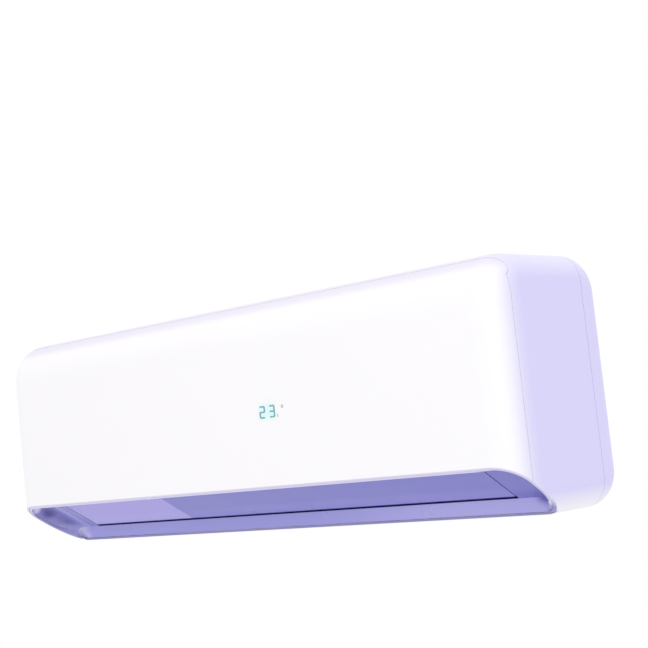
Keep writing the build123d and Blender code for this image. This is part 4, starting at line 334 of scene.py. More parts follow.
class Finish:
    """A material under construction: its node tree, its shader and the object's own coordinates."""

    def __init__(self, name, roughness=0.4, metallic=0.0):
        self.material = bpy.data.materials.new(name)
        self.material.use_nodes = True
        self.tree = self.material.node_tree
        self.shader = self.tree.nodes["Principled BSDF"]
        self.shader.inputs["Roughness"].default_value = roughness
        self.shader.inputs["Metallic"].default_value = metallic
        self.place = self.tree.nodes.new("ShaderNodeTexCoord").outputs["Object"]

    def node(self, kind, inputs, **settings):
        """A new node with its settings. Each input is linked to a socket or takes a plain value."""
        made = self.tree.nodes.new("ShaderNode" + kind)
        for key, value in settings.items():
            setattr(made, key, value)
        for key, value in inputs.items():
            if isinstance(value, bpy.types.NodeSocket):
                self.tree.links.new(value, made.inputs[key])
            else:
                made.inputs[key].default_value = value
        return made

    def join(self, socket, name):
        """Feed one of the shader's inputs."""
        self.tree.links.new(socket, self.shader.inputs[name])

    def math(self, operation, first, second=0.0, third=0.0):
        """One sum on sockets or numbers."""
        return self.node("Math", {0: first, 1: second, 2: third}, operation=operation).outputs[0]

    def noise(self, scale, detail=3.0, rough=0.5, stretch=None):
        """Noise on the object's coordinates, stretched where asked. It runs from 0 to 1."""
        source = self.place
        if stretch is not None:
            source = self.node("Mapping", {"Vector": source, "Scale": stretch}).outputs[0]
        inputs = {"Vector": source, "Scale": scale, "Detail": detail, "Roughness": rough}
        return self.node("TexNoise", inputs).outputs["Fac"]

    def cells(self, scale, output="Distance", feature="F1"):
        """Cells on the object's coordinates."""
        made = self.node("TexVoronoi", {"Vector": self.place, "Scale": scale}, feature=feature)
        return made.outputs[output]

    def spread(self, socket, low, high, from_low=0.0, from_high=1.0, smooth=False):
        """Carry a range of values over to another."""
        inputs = {"Value": socket, "From Min": from_low, "From Max": from_high, "To Min": low, "To Max": high}
        kind = "SMOOTHSTEP" if smooth else "LINEAR"
        return self.node("MapRange", inputs, interpolation_type=kind).outputs[0]

    def above(self, socket, low, high, smooth=False):
        """0 below low and 1 above high."""
        return self.spread(socket, 0.0, 1.0, low, high, smooth)

    def below(self, socket, low, high, smooth=False):
        """1 below low and 0 above high."""
        return self.spread(socket, 1.0, 0.0, low, high, smooth)

    def mix(self, amount, first, second):
        """Blend two colours, each a socket, four light values or a shown colour."""
        first, second = [value if isinstance(value, bpy.types.NodeSocket) or len(value) == 4
                         else linear(value) for value in (first, second)]
        return self.node("Mix", {0: amount, 6: first, 7: second}, data_type="RGBA").outputs[2]

    def ramp(self, socket, low, high, stops):
        """Colours along a value that runs from low to high: each stop is a value and a shown colour."""
        made = self.node("ValToRGB", {"Fac": self.above(socket, low, high)})
        line = made.color_ramp
        places = [(value - low) / (high - low) for value, _ in stops]
        line.elements[0].position, line.elements[1].position = places[0], places[-1]
        for place in places[1:-1]:
            line.elements.new(place)
        for element, (_, shown) in zip(line.elements, stops):
            element.color = linear(shown)
        return made.outputs["Color"]

    def relief(self, height, distance, strength):
        """Relief from a height of 0 to 1, distance deep."""
        made = self.node("Bump", {"Height": height, "Distance": distance, "Strength": strength})
        self.join(made.outputs[0], "Normal")

    def gloss(self, noise, low, high, between=MIDDLE):
        """Roughness that drifts from low to high with a noise."""
        self.join(self.spread(noise, low, high, *between), "Roughness")

    def axis(self, letter):
        """One of the object's coordinates."""
        if not hasattr(self, "apart"):
            self.apart = self.node("SeparateXYZ", {0: self.place})
        return self.apart.outputs[letter]

    def beyond(self, letter, place, width=0.0004):
        """0 below a place on an axis and 1 above it."""
        return self.above(self.axis(letter), place - width / 2, place + width / 2)

    def both(self, first, *others):
        """The product of masks."""
        for other in others:
            first = self.math("MULTIPLY", first, other)
        return first

    def near(self, centre, inner, outer):
        """1 within inner of a point and 0 beyond outer."""
        away = self.node("VectorMath", {0: self.place, 1: centre}, operation="DISTANCE").outputs["Value"]
        return self.below(away, inner, outer, smooth=True)

    def under_skin(self):
        """Depth below the rounded ends: their radius less the length of what |x|, -y and -z pass the
        rounding's centres."""
        centres = [-edge - END_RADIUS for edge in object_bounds()[0]]
        past = [self.math("SUBTRACT", self.away(), centres[0])]
        past += [self.math("SUBTRACT", self.math("MULTIPLY", self.axis(letter), -1.0), centre)
                 for letter, centre in zip("YZ", centres[1:])]
        past = {index: self.math("MAXIMUM", value, 0.0) for index, value in enumerate(past)}
        joined = self.node("CombineXYZ", past).outputs[0]
        long = self.node("VectorMath", {0: joined}, operation="LENGTH").outputs["Value"]
        return self.math("SUBTRACT", END_RADIUS, long)

    def away(self):
        """Distance from the middle of the unit's length."""
        return self.math("ABSOLUTE", self.axis("X"))

    def from_lip(self, of_y, of_z):
        """of_y times y plus of_z times z, both from the front lip."""
        offset = -of_y * LIP_POINT[0] - of_z * LIP_POINT[1]
        level = self.math("MULTIPLY_ADD", self.axis("Z"), of_z, offset)
        return self.math("MULTIPLY_ADD", self.axis("Y"), of_y, level)

    def behind_lip(self):
        """Distance behind the slanted plane of the outlet."""
        return self.from_lip(*LIP_NORMAL)

    def along_lip(self):
        """Distance down that plane from the front lip."""
        return self.from_lip(LIP_NORMAL[1], -LIP_NORMAL[0])

    def left_end(self):
        """1 in the curved part of the left end."""
        return self.below(self.axis("X"), -0.385, -0.365)

    def left_foot(self):
        """1 in that part below the front lip's foot."""
        return self.both(self.left_end(), self.below(self.axis("Z"), -0.112, -0.102))


def shade(shown, times):
    """A shown colour with its light values multiplied."""
    return tuple(min(1.0, value * times) for value in linear(shown)[:3]) + (1.0,)


def moulded(name, shown, roughness, grain=900.0, relief=0.00003, vary=0.05):
    """Moulded plastic: fine spark-eroded grain in its relief, slow drift in colour and gloss."""
    finish = Finish(name, roughness)
    drift = finish.above(finish.noise(7.0, 4.0), *MIDDLE)
    finish.join(finish.mix(drift, shade(shown, 1 - vary), shade(shown, 1 + vary)), "Base Color")
    finish.gloss(finish.noise(23.0), roughness - 0.05, roughness + 0.07)
    finish.relief(finish.noise(grain, 2.0), relief, 0.5)
    return finish.material


def sheet_metal(name, shown, roughness, stretch=(1, 1, 1)):
    """Rolled or coated metal: lines drawn out along the sheet and a patchy spangle."""
    finish = Finish(name, roughness, 1.0)
    lines = finish.noise(420.0, 2.0, stretch=stretch)
    spangle = finish.cells(140.0, "Color")
    patch = finish.spread(finish.node("SeparateColor", {0: spangle}).outputs[0], 0.0, 0.5)
    finish.join(finish.mix(patch, shade(shown, 0.88), shade(shown, 1.1)), "Base Color")
    finish.gloss(lines, roughness - 0.08, roughness + 0.1)
    finish.relief(lines, 0.00001, 0.4)
    return finish.material


def copper_tube(name, shown, tarnish):
    """Drawn copper: bright where handled, browner in slow patches, with fine draw marks along the tube."""
    finish = Finish(name, 0.28, 1.0)
    patches = finish.spread(finish.noise(38.0, 5.0, 0.6), 0.0, tarnish, 0.45, 0.7)
    finish.join(finish.mix(patches, shown, (0.52, 0.28, 0.18)), "Base Color")
    along = (0.05, 1, 1)
    finish.gloss(finish.noise(260.0, 2.0, stretch=along), 0.2, 0.42)
    finish.relief(finish.noise(700.0, 1.0, stretch=along), 0.00001, 0.5)
    return finish.material


def circuit_board(name, shown):
    """Solder mask with lighter tracks on a fine brick grid, and small bright pads."""
    finish = Finish(name, 0.3)
    flat = finish.node("Mapping", {"Vector": finish.place, "Rotation": (math.pi / 2, 0, 0)}).outputs[0]
    tracks = finish.node("TexBrick", {"Vector": flat, "Scale": 150.0, "Mortar Size": 0.05, "Brick Width": 0.9,
                                      "Row Height": 0.3}, offset=0.37).outputs["Fac"]
    green = finish.mix(tracks, shown, shade(shown, 1.9))
    pads = finish.below(finish.cells(260.0), 0.1, 0.16)
    finish.join(finish.mix(pads, green, (0.78, 0.76, 0.66)), "Base Color")
    finish.relief(tracks, 0.00004, 0.6)
    finish.gloss(finish.noise(60.0), 0.24, 0.4, WHOLE)
    return finish.material


def soft_rubber(name, shown):
    """Matt rubber with a dusty bloom on a pebbled skin."""
    finish = Finish(name, 0.75)
    bloom = finish.spread(finish.noise(45.0, 5.0), 0.0, 0.5, 0.45, 0.75)
    finish.join(finish.mix(bloom, shown, shade(shown, 2.6)), "Base Color")
    finish.relief(finish.noise(1400.0, 2.0), 0.00005, 0.7)
    finish.gloss(finish.noise(90.0), 0.66, 0.85, WHOLE)
    return finish.material


def foam_sleeve(name, shown):
    """Closed-cell foam: cells in the relief and faint mottling."""
    finish = Finish(name, 0.8)
    finish.join(finish.mix(finish.noise(60.0, 5.0), shade(shown, 0.82), shade(shown, 1.05)), "Base Color")
    finish.relief(finish.cells(900.0, feature="SMOOTH_F1"), 0.00016, 0.8)
    finish.gloss(finish.noise(200.0), 0.72, 0.9, WHOLE)
    return finish.material


def dress(names, material):
    """Give CAD nodes a finish."""
    for name in names:
        node = frame["nodes"][name]
        node.data.materials.clear()
        node.data.materials.append(material)


# -------------------- shell
def shell_finish(name, shell, display=None, halo_at=None):
    """White that turns lavender round both ends, by a smooth step on 0.73 |x| + 0.67 y, and not further in
    than the ends' rounding: partly the plastic's colour and partly painted violet shade. The top's lilac is
    painted shade, both ends are paler at their bevels by painted light, and the edges cut by the outlet's
    plane and the casing's lower edge carry painted shade, lilac at the front and violet at the rear."""
    finish = Finish(name, shell.roughness)
    height = finish.axis("Z")
    # The white turns to lavender round both ends, partly painted violet shade.
    backward = finish.math("MULTIPLY", finish.axis("Y"), FADE_WAY[1])
    round_end = finish.math("MULTIPLY_ADD", finish.away(), FADE_WAY[0], backward)
    share = finish.both(finish.above(round_end, shell.fade_from, shell.fade_to, smooth=True),
                        finish.above(finish.away(), 0.345, 0.385, smooth=True))
    drift = finish.above(finish.noise(5.0), *MIDDLE)
    white = finish.mix(drift, shade(shell.front, 0.992), shell.front)
    # Painted shade: pinkish white on the top and its rounded front edge.
    white = finish.mix(finish.above(height, 0.097, 0.110, smooth=True), white, shell.top)
    # Painted light at the ends' upper and lower bevels, over the lavender.
    lavender = finish.ramp(height, -0.150, 0.118, ((-0.146, shell.side_foot_light), (-0.126, shell.side),
                                                   (0.090, shell.side), (0.108, shell.side_top_light)))
    lavender = finish.mix(finish.math("MULTIPLY", drift, 0.12), lavender, shade(shell.side, 0.9))
    painted = finish.mix(share, white, lavender)
    # Painted shade on the cut edges and the casing's lower edge: lilac at the front, violet at the rear and
    # the left end.
    cut = finish.below(finish.behind_lip(), 0.0002, 0.0005)
    sill = finish.both(finish.below(finish.axis("Y"), -0.1094, -0.1091),
                       finish.below(height, -0.1468, -0.1462))
    edge = finish.ramp(height, -0.150, -0.090, ((-0.142, shell.lip_foot_shade), (-0.132, shell.lip)))
    edge = finish.mix(finish.left_foot(), edge, shell.lip_foot_shade)
    painted = finish.mix(finish.math("MAXIMUM", cut, sill), painted, edge)
    if display is not None:
        painted = finish.mix(halo(finish, display, halo_at), painted, display.halo)
    finish.join(painted, "Base Color")
    finish.gloss(finish.noise(30.0), shell.roughness - 0.04, shell.roughness + 0.06)
    finish.relief(finish.noise(1100.0, 2.0), 0.000012, 0.35)
    return finish.material


def halo(finish, display, halo_at):
    """Soft light painted round the numerals onto the panel: a smooth step down over the reach from their
    rectangle.
    """
    squares = []
    for letter, (low, high) in zip("XZ", halo_at):
        away = finish.math("ABSOLUTE", finish.math("SUBTRACT", finish.axis(letter), (low + high) / 2))
        past = finish.math("MAXIMUM", finish.math("SUBTRACT", away, (high - low) / 2), 0.0)
        squares.append(finish.math("MULTIPLY", past, past))
    away = finish.math("SQRT", finish.math("ADD", *squares))
    near = finish.below(away, 0.0, display.halo_reach, smooth=True)
    on_face = finish.below(finish.axis("Y"), -0.199, -0.198)
    return finish.both(near, on_face)


class UNIT_OT_dress_shell(Operator):
    """Finish the front panel, the casing and the rear chassis"""
    bl_idname = "indoor_unit.dress_shell"
    bl_label = "Dress the shell"

    def execute(self, context):
        shell, display = context.scene.unit_shell, context.scene.unit_display
        low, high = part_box("display_digits")
        inset, width = 0.003, 0.0215  # of the two numerals, which leaves out the dot and the mark
        numerals = ((low.x + inset, low.x + width), (low.z + inset, high.z - inset))
        dress(["front_panel"], shell_finish("front_white", shell, display, numerals))
        dress(["casing", "base_chassis"], shell_finish("shell_white", shell))
        return {"FINISHED"}


class UNIT_OT_dress_display(Operator):
    """Light the numerals and finish the board behind them"""
    bl_idname = "indoor_unit.dress_display"
    bl_label = "Dress the display"

    def execute(self, context):
        display, inside = context.scene.unit_display, context.scene.unit_inside
        finish = Finish("numeral_light", 0.25)
        grain = finish.noise(900.0, 2.0)
        lit = finish.mix(grain, shade(display.stroke, 0.9), shade(display.stroke, 1.1))
        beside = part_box("display_digits")[0].x + 0.026
        lit = finish.mix(finish.beyond("X", beside + 0.0005, 0.001), lit, display.dot)
        finish.join(lit, "Base Color")
        finish.join(lit, "Emission Color")
        finish.shader.inputs["Emission Strength"].default_value = 0.15
        dress(["display_digits"], finish.material)
        dress(["display_board", "control_board"], circuit_board("board_mask", inside.board))
        return {"FINISHED"}


# -------------------- outlet
# Spots of painted shade and painted highlight in the recess: a centre, and the distances from it at which the
# spot's colour starts and ends to fade
LEFT_FOLD_SHADE = ((-0.391, -0.160, -0.107), 0.002, 0.014)
LEFT_GLEAM = ((-0.394, -0.180, -0.102), 0.004, 0.010)
RIGHT_TIP_SHADE = ((0.382, -0.119, -0.130), 0.008, 0.021)
RIGHT_GLEAM = ((0.3925, -0.130, -0.1375), 0.002, 0.007)


def recess_colour(finish, outlet):
    """Violet with painted shade where the recess curves up at both ends and right of the louver, and a
    painted highlight line where the left end begins to curve up. The strip behind the louver and the left
    end's rear corner are lighter by painted light, and both ends have a spot of painted shade and a painted
    highlight."""
    left_end, height = finish.left_end(), finish.axis("Z")
    # Across the left end: a painted highlight line, then painted shade where it curves up.
    left = finish.ramp(finish.away(), 0.340, 0.405, ((0.359, outlet.bezel), (0.366, outlet.ridge_highlight),
                                                     (0.373, outlet.bezel), (0.390, outlet.shade),
                                                     (0.3975, outlet.rim_foot_shade)))
    # Painted shade right of the louver.
    floor = finish.mix(finish.beyond("X", 0.0, 0.6), left, outlet.bezel_right_shade)
    # Painted light in the left end's rear corner.
    corner = finish.both(left_end, finish.below(height, -0.138, -0.121, smooth=True))
    floor = finish.mix(corner, floor, outlet.corner)
    # Painted light on the strip, more towards the right end.
    rightward = finish.above(finish.axis("X"), 0.02, 0.26, smooth=True)
    strip = finish.mix(rightward, outlet.strip, outlet.strip_right_light)
    # Painted highlight at the strip's left end.
    strip = finish.mix(left_end, strip, outlet.pale)
    painted = finish.mix(finish.beyond("Y", -0.1140, 0.0008), floor, strip)
    # Spots of painted shade and painted highlight at both ends.
    painted = finish.mix(finish.near(*LEFT_FOLD_SHADE), painted, outlet.left_fold_shade)
    painted = finish.mix(finish.near(*LEFT_GLEAM), painted, outlet.pale)
    tip = finish.both(finish.near(*RIGHT_TIP_SHADE), finish.above(height, -0.1425, -0.1345))
    painted = finish.mix(tip, painted, outlet.right_tip_shade)
    painted = finish.mix(finish.near(*RIGHT_GLEAM), painted, outlet.pale)
    drift = finish.spread(finish.noise(7.0, 4.0), 0.0, 0.05, *MIDDLE)
    return finish.mix(drift, painted, outlet.shade)


def bezel_finish(outlet):
    """The recess with a painted highlight on its rim and painted shade on the rim at the left end and along
    the rear. The walls round the louver's opening lie deeper and carry painted shadow.
    """
    finish = Finish("bezel_violet", outlet.roughness)
    depth = finish.behind_lip()
    # Painted shadow on the walls round the louver's opening; left of the louver's end they take the recess's
    # painted shade instead.
    slot = finish.mix(finish.beyond("X", -LOUVER_HALF), outlet.shade, outlet.slot)
    deeper = finish.above(depth, RECESS_DEPTH - 0.0001, RECESS_DEPTH + 0.0001)
    painted = finish.mix(deeper, recess_colour(finish, outlet), slot)
    # Painted highlight on the rim, which keeps the recess's colour on its inner band at the right end;
    # painted shade on it at the left end and along the rear.
    inner = finish.both(finish.above(finish.under_skin(), 0.0042, 0.0047),
                        finish.above(finish.axis("X"), 0.350, 0.370))
    rim = finish.mix(inner, outlet.rim, painted)
    low = finish.below(finish.axis("Z"), -0.141, -0.136)
    rim = finish.mix(finish.math("MAXIMUM", finish.left_foot(), low), rim, outlet.rim_foot_shade)
    painted = finish.mix(finish.below(depth, 0.0003, 0.0006), painted, rim)
    finish.join(painted, "Base Color")
    finish.gloss(finish.noise(23.0), outlet.roughness - 0.05, outlet.roughness + 0.05)
    finish.relief(finish.noise(900.0, 2.0), 0.00001, 0.5)
    return finish.material


def louver_finish(outlet):
    """Violet, lighter by painted light near the rear edge, where it mirrors less. Its left quarter is lighter
    and ends in a line across, and the rear edge itself carries painted shadow."""
    finish = Finish("louver_violet", outlet.roughness - 0.04)
    along = finish.along_lip()
    # Painted light towards the rear edge.
    rearward = finish.above(along, 0.060, 0.092, smooth=True)
    violet = finish.mix(rearward, outlet.louver, outlet.louver_rear_light)
    pale = finish.mix(rearward, outlet.pale_louver, outlet.pale_rear)
    painted = finish.mix(finish.beyond("X", -0.1525, 0.003), pale, violet)
    # Painted shadow on the louver's rear edge, next to the gap.
    painted = finish.mix(finish.above(along, 0.0870, 0.0876), painted, outlet.slot)
    finish.join(painted, "Base Color")
    finish.gloss(finish.noise(19.0), outlet.roughness - 0.08, outlet.roughness + 0.02)
    finish.relief(finish.noise(900.0, 2.0), 0.00001, 0.5)
    return finish.material


class UNIT_OT_dress_outlet(Operator):
    """Finish the bezel, the louver, its fittings and the vanes"""
    bl_idname = "indoor_unit.dress_outlet"
    bl_label = "Dress the outlet"

    def execute(self, context):
        outlet, inside = context.scene.unit_outlet, context.scene.unit_inside
        dress(["outlet_bezel"], bezel_finish(outlet))
        dress(["louver"], louver_finish(outlet))
        pale = moulded("vane_plastic", outlet.vane, 0.45)
        rails = ["vane_rail_left", "vane_rail_right", "link_bar_left", "link_bar_right"]
        dress(VANES + rails + ["louver_support", "louver_bushes"], pale)
        dress(["louver_motor"], sheet_metal("motor_can", inside.steel, 0.35, (0.1, 1, 1)))
        return {"FINISHED"}


# -------------------- evaporator
def corners_of(name):
    """The vertices of a CAD node."""
    vertices = frame["nodes"][name].data.vertices
    flat = np.zeros(len(vertices) * 3, np.float32)
    vertices.foreach_get("co", flat)
    return flat.reshape(-1, 3).astype(float)


def fin_pack(name, settings, material):
    """Fins of one pack. A fin is a sheet across the pack: along its width w the sheet waves in X by
    ripple times a triangle wave, its section is that line and the same line one thickness on, and it runs
    straight from the pack's lower end to its upper end."""
    corners = corners_of(name)
    section = corners[:, 1:]
    hull = section[[*section.argmax(0), *section.argmin(0)]]
    middle = (section.max(0) + section.min(0)) / 2
    lean = PACK_LEAN[name]
    run = np.array([math.sin(lean), math.cos(lean)])
    side = np.array([run[1], -run[0]])
    half_long = np.abs((hull - middle) @ run).max()
    half_wide = np.abs((hull - middle) @ side).max()
    left, right = corners[:, 0].min(), corners[:, 0].max()
    count = int((right - left - settings.thickness) / settings.pitch)
    across = np.linspace(-half_wide, half_wide, FIN_POINTS)
    wave = settings.ripple * (np.arange(FIN_POINTS) % 2 - 0.5)
    loop_across = np.concatenate([across, across[::-1]])
    loop_x = np.concatenate([wave, wave[::-1] + settings.thickness])
    starts = left + settings.ripple + settings.pitch * np.arange(count)
    ends = np.array([-half_long, half_long])
    yz = middle + ends[:, None, None] * run + loop_across[None, :, None] * side
    x = starts[:, None, None] + loop_x[None, None, :] + np.zeros((1, 2, 1))
    yz = np.broadcast_to(yz[None], (count,) + yz.shape)
    points = np.concatenate([x[..., None], yz], axis=-1)
    sides = 2 * FIN_POINTS
    walls = repeated(ring_quads(2, sides), count, 2 * sides)
    lids = repeated(np.stack([np.arange(sides)[::-1], np.arange(sides) + sides]), count, 2 * sides)
    return make_piece(name + "_sheets", "unit", points, [walls, lids], material, (name,),
                      False)


PACK_LEAN = {
    "evaporator_fins_lower": 0.0,
    "evaporator_fins_upper": math.radians(35),
    "evaporator_fins_rear": math.radians(-35.7),
}


class UNIT_OT_build_fins(Operator):
    """Build the three packs of thin aluminium fins"""
    bl_idname = "indoor_unit.build_fins"
    bl_label = "Build the fins"

    def execute(self, context):
        settings = context.scene.unit_coil
        finish = Finish("fin_aluminium", 0.32, 1.0)
        drift = finish.noise(24.0, 4.0)
        aluminium = finish.mix(drift, shade(settings.aluminium, 0.86), shade(settings.aluminium, 1.08))
        finish.join(aluminium, "Base Color")
        finish.gloss(finish.noise(300.0), 0.25, 0.45, WHOLE)
        for name in PACK_LEAN:
            fin_pack(name, settings, finish.material)
        return {"FINISHED"}


class UNIT_OT_dress_coil(Operator):
    """Finish the tubes, end plates, pipes and their sleeves"""
    bl_idname = "indoor_unit.dress_coil"
    bl_label = "Dress the coil and pipes"

    def execute(self, context):
        coil, inside = context.scene.unit_coil, context.scene.unit_inside
        dress(["evaporator_hairpins", "evaporator_return_bends", "temperature_sensors"],
              copper_tube("coil_copper", coil.copper, 0.55))
        dress(["liquid_pipe", "suction_pipe"], copper_tube("pipe_copper", coil.copper, 0.35))
        dress(["evaporator_end_plates"], sheet_metal("end_plate_zinc", inside.zinc, 0.4))
        dress(["pipe_insulation"], foam_sleeve("sleeve_foam", inside.foam))
        dress(["pipe_clamp"], moulded("clamp_plastic", inside.pale, 0.5))
        return {"FINISHED"}


def flare_nut(member):
    """Points of a six-sided nut in place of a CAD one, a little slimmer: its radius follows the flats, half
    width over cos(angle from the nearest flat), held under a cone at both ends."""
    low, high = Vector(member.min(0)), Vector(member.max(0))
    centre = np.array([(low.y + high.y) / 2, (low.z + high.z) / 2])
    bore = np.linalg.norm(member[:, 1:] - centre, axis=1).min()
    half_y, half_z, slimmer = (high.y - low.y) / 2, (high.z - low.z) / 2, 0.985
    flats = min(half_y, half_z) * slimmer
    widest = flats / math.cos(math.pi / 6)
    angles = np.arange(NUT_SIDES) * (2 * math.pi / NUT_SIDES)
    turn = 0.0 if half_y < half_z else math.pi / 6
    from_flat = (angles - turn + math.pi / 6) % (math.pi / 3) - math.pi / 6
    hexagon = flats / np.cos(from_flat)
    cut = (widest - flats) * 0.6
    stations = low.x + (high.x - low.x) * np.array([0.0, 0.0, 0.0, 0.06, 0.5, 0.94, 1.0, 1.0, 1.0])
    radii = [bore, bore + 0.0006, flats - cut, widest, widest, widest, flats - cut, bore + 0.0006, bore]
    return turned(stations, radii, angles, centre, hexagon)


class UNIT_OT_build_nuts(Operator):
    """Build the two chamfered flare nuts"""
    bl_idname = "indoor_unit.build_nuts"
    bl_label = "Build the flare nuts"

    def execute(self, context):
        brass = sheet_metal("nut_brass", context.scene.unit_inside.brass, 0.3, (1, 0.1, 0.1))
        corners = corners_of("flare_nuts")
        split = (corners[:, 0].min() + corners[:, 0].max()) / 2
        nuts = np.stack([flare_nut(corners[side]) for side in (corners[:, 0] < split, corners[:, 0] > split)])
        stations = nuts.shape[1]
        walls = ring_quads(stations, NUT_SIDES, wrap_rings=True)[:, ::-1]
        faces = repeated(walls, len(nuts), stations * NUT_SIDES)
        make_piece("flare_nuts_turned", "unit", nuts, [faces], brass, ("flare_nuts",), False)
        return {"FINISHED"}


# -------------------- filters
def filter_bars(low, high, settings):
    """Boxes of a filter's frame: four borders, four bars across, one along, and the grip with its ribs. Bars
    start inside the borders and keep a little below their faces."""
    border, bar, start = settings.border, settings.bar, settings.border * 0.6
    boxes = [
        ((low.x, low.y, low.z), (low.x + border, high.y, high.z)),
        ((high.x - border, low.y, low.z), (high.x, high.y, high.z)),
        ((low.x + start, low.y, low.z), (high.x - start, low.y + border, high.z)),
        ((low.x + start, high.y - border, low.z), (high.x - start, high.y, high.z)),
    ]
    fields, sunk = 5, 0.0002
    step = (high.x - low.x - 2 * border + bar) / fields
    for index in range(1, fields):
        left = low.x + border + index * step - bar
        boxes.append(((left, low.y + start, low.z + sunk), (left + bar, high.y - start, high.z - sunk)))
    middle = (low.y + high.y) / 2
    boxes.append(((low.x + start, middle - bar / 2, low.z + 2 * sunk),
                  (high.x - start, middle + bar / 2, high.z - 2 * sunk)))
    centre, half_grip, ribs = (low.x + high.x) / 2, 0.014, 4
    boxes.append(((centre - half_grip, low.y + sunk, low.z + 0.0001),
                  (centre + half_grip, low.y + 0.012, high.z - 0.0008)))
    for index in range(ribs):
        front = low.y + 0.0022 + index * 0.0024
        boxes.append(((centre - 0.012, front, high.z - 0.0014), (centre + 0.012, front + 0.0011, high.z)))
    return boxes


def woven(low, high, settings):
    """Threads both ways. A thread's height is half a thread above and below the net's middle by turns:
    z = middle + r cos(pi (crossing + thread)), so each passes over one neighbour and under the next."""
    pitch, radius, edge = settings.net_pitch, settings.strand / 2, 0.003
    x = np.arange(low.x + edge, high.x - edge, pitch)
    y = np.arange(low.y + edge, high.y - edge, pitch)
    level = low.z + 0.0012
    column, row = np.meshgrid(np.arange(len(x)), np.arange(len(y)), indexing="ij")
    sway = radius * np.cos(np.pi * (column + row))
    grid_x = np.broadcast_to(x[:, None], sway.shape)
    grid_y = np.broadcast_to(y[None], sway.shape)
    warp = np.stack([grid_x, grid_y, level + sway], axis=-1)
    weft = np.stack([grid_x, grid_y, level - sway], axis=-1).transpose(1, 0, 2)
    side_x, side_y, up = np.array([1.0, 0, 0]), np.array([0, 1.0, 0]), np.array([0, 0, 1.0])
    first, first_faces = strands(warp, radius, -side_x, up)
    second, second_faces = strands(weft, radius, side_y, up)
    moved = [faces + len(first) for faces in second_faces]
    return np.concatenate([first, second]), first_faces + moved


class UNIT_OT_build_filters(Operator):
    """Build both air filters: a ribbed frame with a woven net"""
    bl_idname = "indoor_unit.build_filters"
    bl_label = "Build the filters"

    def execute(self, context):
        settings = context.scene.unit_filters
        plastic = moulded("filter_frame", settings.frame, 0.45)
        thread = moulded("filter_net", settings.net, 0.5, grain=2500.0, relief=0.00002, vary=0.15)
        for name in ("filter_left", "filter_right"):
            low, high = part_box(name)
            points, faces = slabs(filter_bars(low, high, settings), 0.0005)
            make_piece(name + "_frame", name, points, faces, plastic, (name,))
            points, faces = woven(low, high, settings)
            make_piece(name + "_net", name, points, faces, thread)
        return {"FINISHED"}


# -------------------- fan, drain, electrics, plate
class UNIT_OT_dress_fan(Operator):
    """Finish the fan, its shaft, bearing, motor and strap"""
    bl_idname = "indoor_unit.dress_fan"
    bl_label = "Dress the fan"

    def execute(self, context):
        inside = context.scene.unit_inside
        dress(["cross_flow_fan"], moulded("fan_plastic", inside.dark, 0.5, vary=0.12))
        dress(["fan_shaft"], sheet_metal("shaft_steel", inside.steel, 0.25, (0.05, 1, 1)))
        dress(["fan_motor"], sheet_metal("motor_shell", inside.steel, 0.42))
        dress(["motor_strap"], sheet_metal("strap_zinc", inside.zinc, 0.4))
        dress(["bearing_seat", "motor_cushion", "drain_plug"], soft_rubber("black_rubber", inside.rubber))
        dress(["fan_bearing"], sheet_metal("bearing_bronze", (0.62, 0.46, 0.28), 0.35))
        return {"FINISHED"}


class UNIT_OT_dress_inside(Operator):
    """Finish the grille, the drain pan and the electrical parts"""
    bl_idname = "indoor_unit.dress_inside"
    bl_label = "Dress the inside"

    def execute(self, context):
        inside = context.scene.unit_inside
        dress(["inlet_grille"], moulded("grille_plastic", inside.pale, 0.42))
        dress(["drain_pan"], moulded("pan_plastic", inside.pale, 0.5, vary=0.06))
        dress(["electrical_box", "electrical_cover"], moulded("box_plastic", inside.pale, 0.48))
        dress(["emergency_button"], moulded("button_plastic", inside.pale, 0.35))
        dress(["board_components", "terminal_block", "button_switch"],
              moulded("black_plastic", inside.dark, 0.4, vary=0.2))
        dress(["cover_screws"], sheet_metal("screw_steel", inside.steel, 0.3))
        return {"FINISHED"}


class UNIT_OT_dress_wall_plate(Operator):
    """Finish the zinc-coated wall plate"""
    bl_idname = "indoor_unit.dress_wall_plate"
    bl_label = "Dress the wall plate"

    def execute(self, context):
        dress(["wall_plate"], sheet_metal("plate_zinc", context.scene.unit_inside.zinc, 0.42, (0.04, 1, 1)))
        return {"FINISHED"}


# -------------------- studio
def lamp(name, place, target, width, height, watts):
    """A large soft lamp that looks at a point."""
    data = bpy.data.lights.new(name, "AREA")
    data.shape = "RECTANGLE"
    data.size, data.size_y = width, height
    data.energy = watts
    turn = (Vector(target) - Vector(place)).to_track_quat("-Z", "Z").to_matrix().to_4x4()
    add_object(name, data).matrix_world = Matrix.Translation(place) @ turn


def studio_air(strength):
    """Even light from all round. Straight looks, reflections and looks through glass see plain white."""
    world = bpy.data.worlds.new("studio")
    bpy.context.scene.world = world
    world.use_nodes = True
    nodes, links = world.node_tree.nodes, world.node_tree.links
    background = nodes["Background"]
    seen = nodes.new("ShaderNodeLightPath")
    total = seen.outputs["Is Camera Ray"]
    for way in ("Is Transmission Ray", "Is Glossy Ray"):
        step = nodes.new("ShaderNodeMath")
        step.operation, step.use_clamp = "ADD", True
        links.new(total, step.inputs[0])
        links.new(seen.outputs[way], step.inputs[1])
        total = step.outputs[0]
    level = nodes.new("ShaderNodeMapRange")
    links.new(total, level.inputs["Value"])
    level.inputs["To Min"].default_value = strength
    level.inputs["To Max"].default_value = 1.0
    links.new(level.outputs[0], background.inputs["Strength"])
    background.inputs["Color"].default_value = (1, 1, 1, 1)


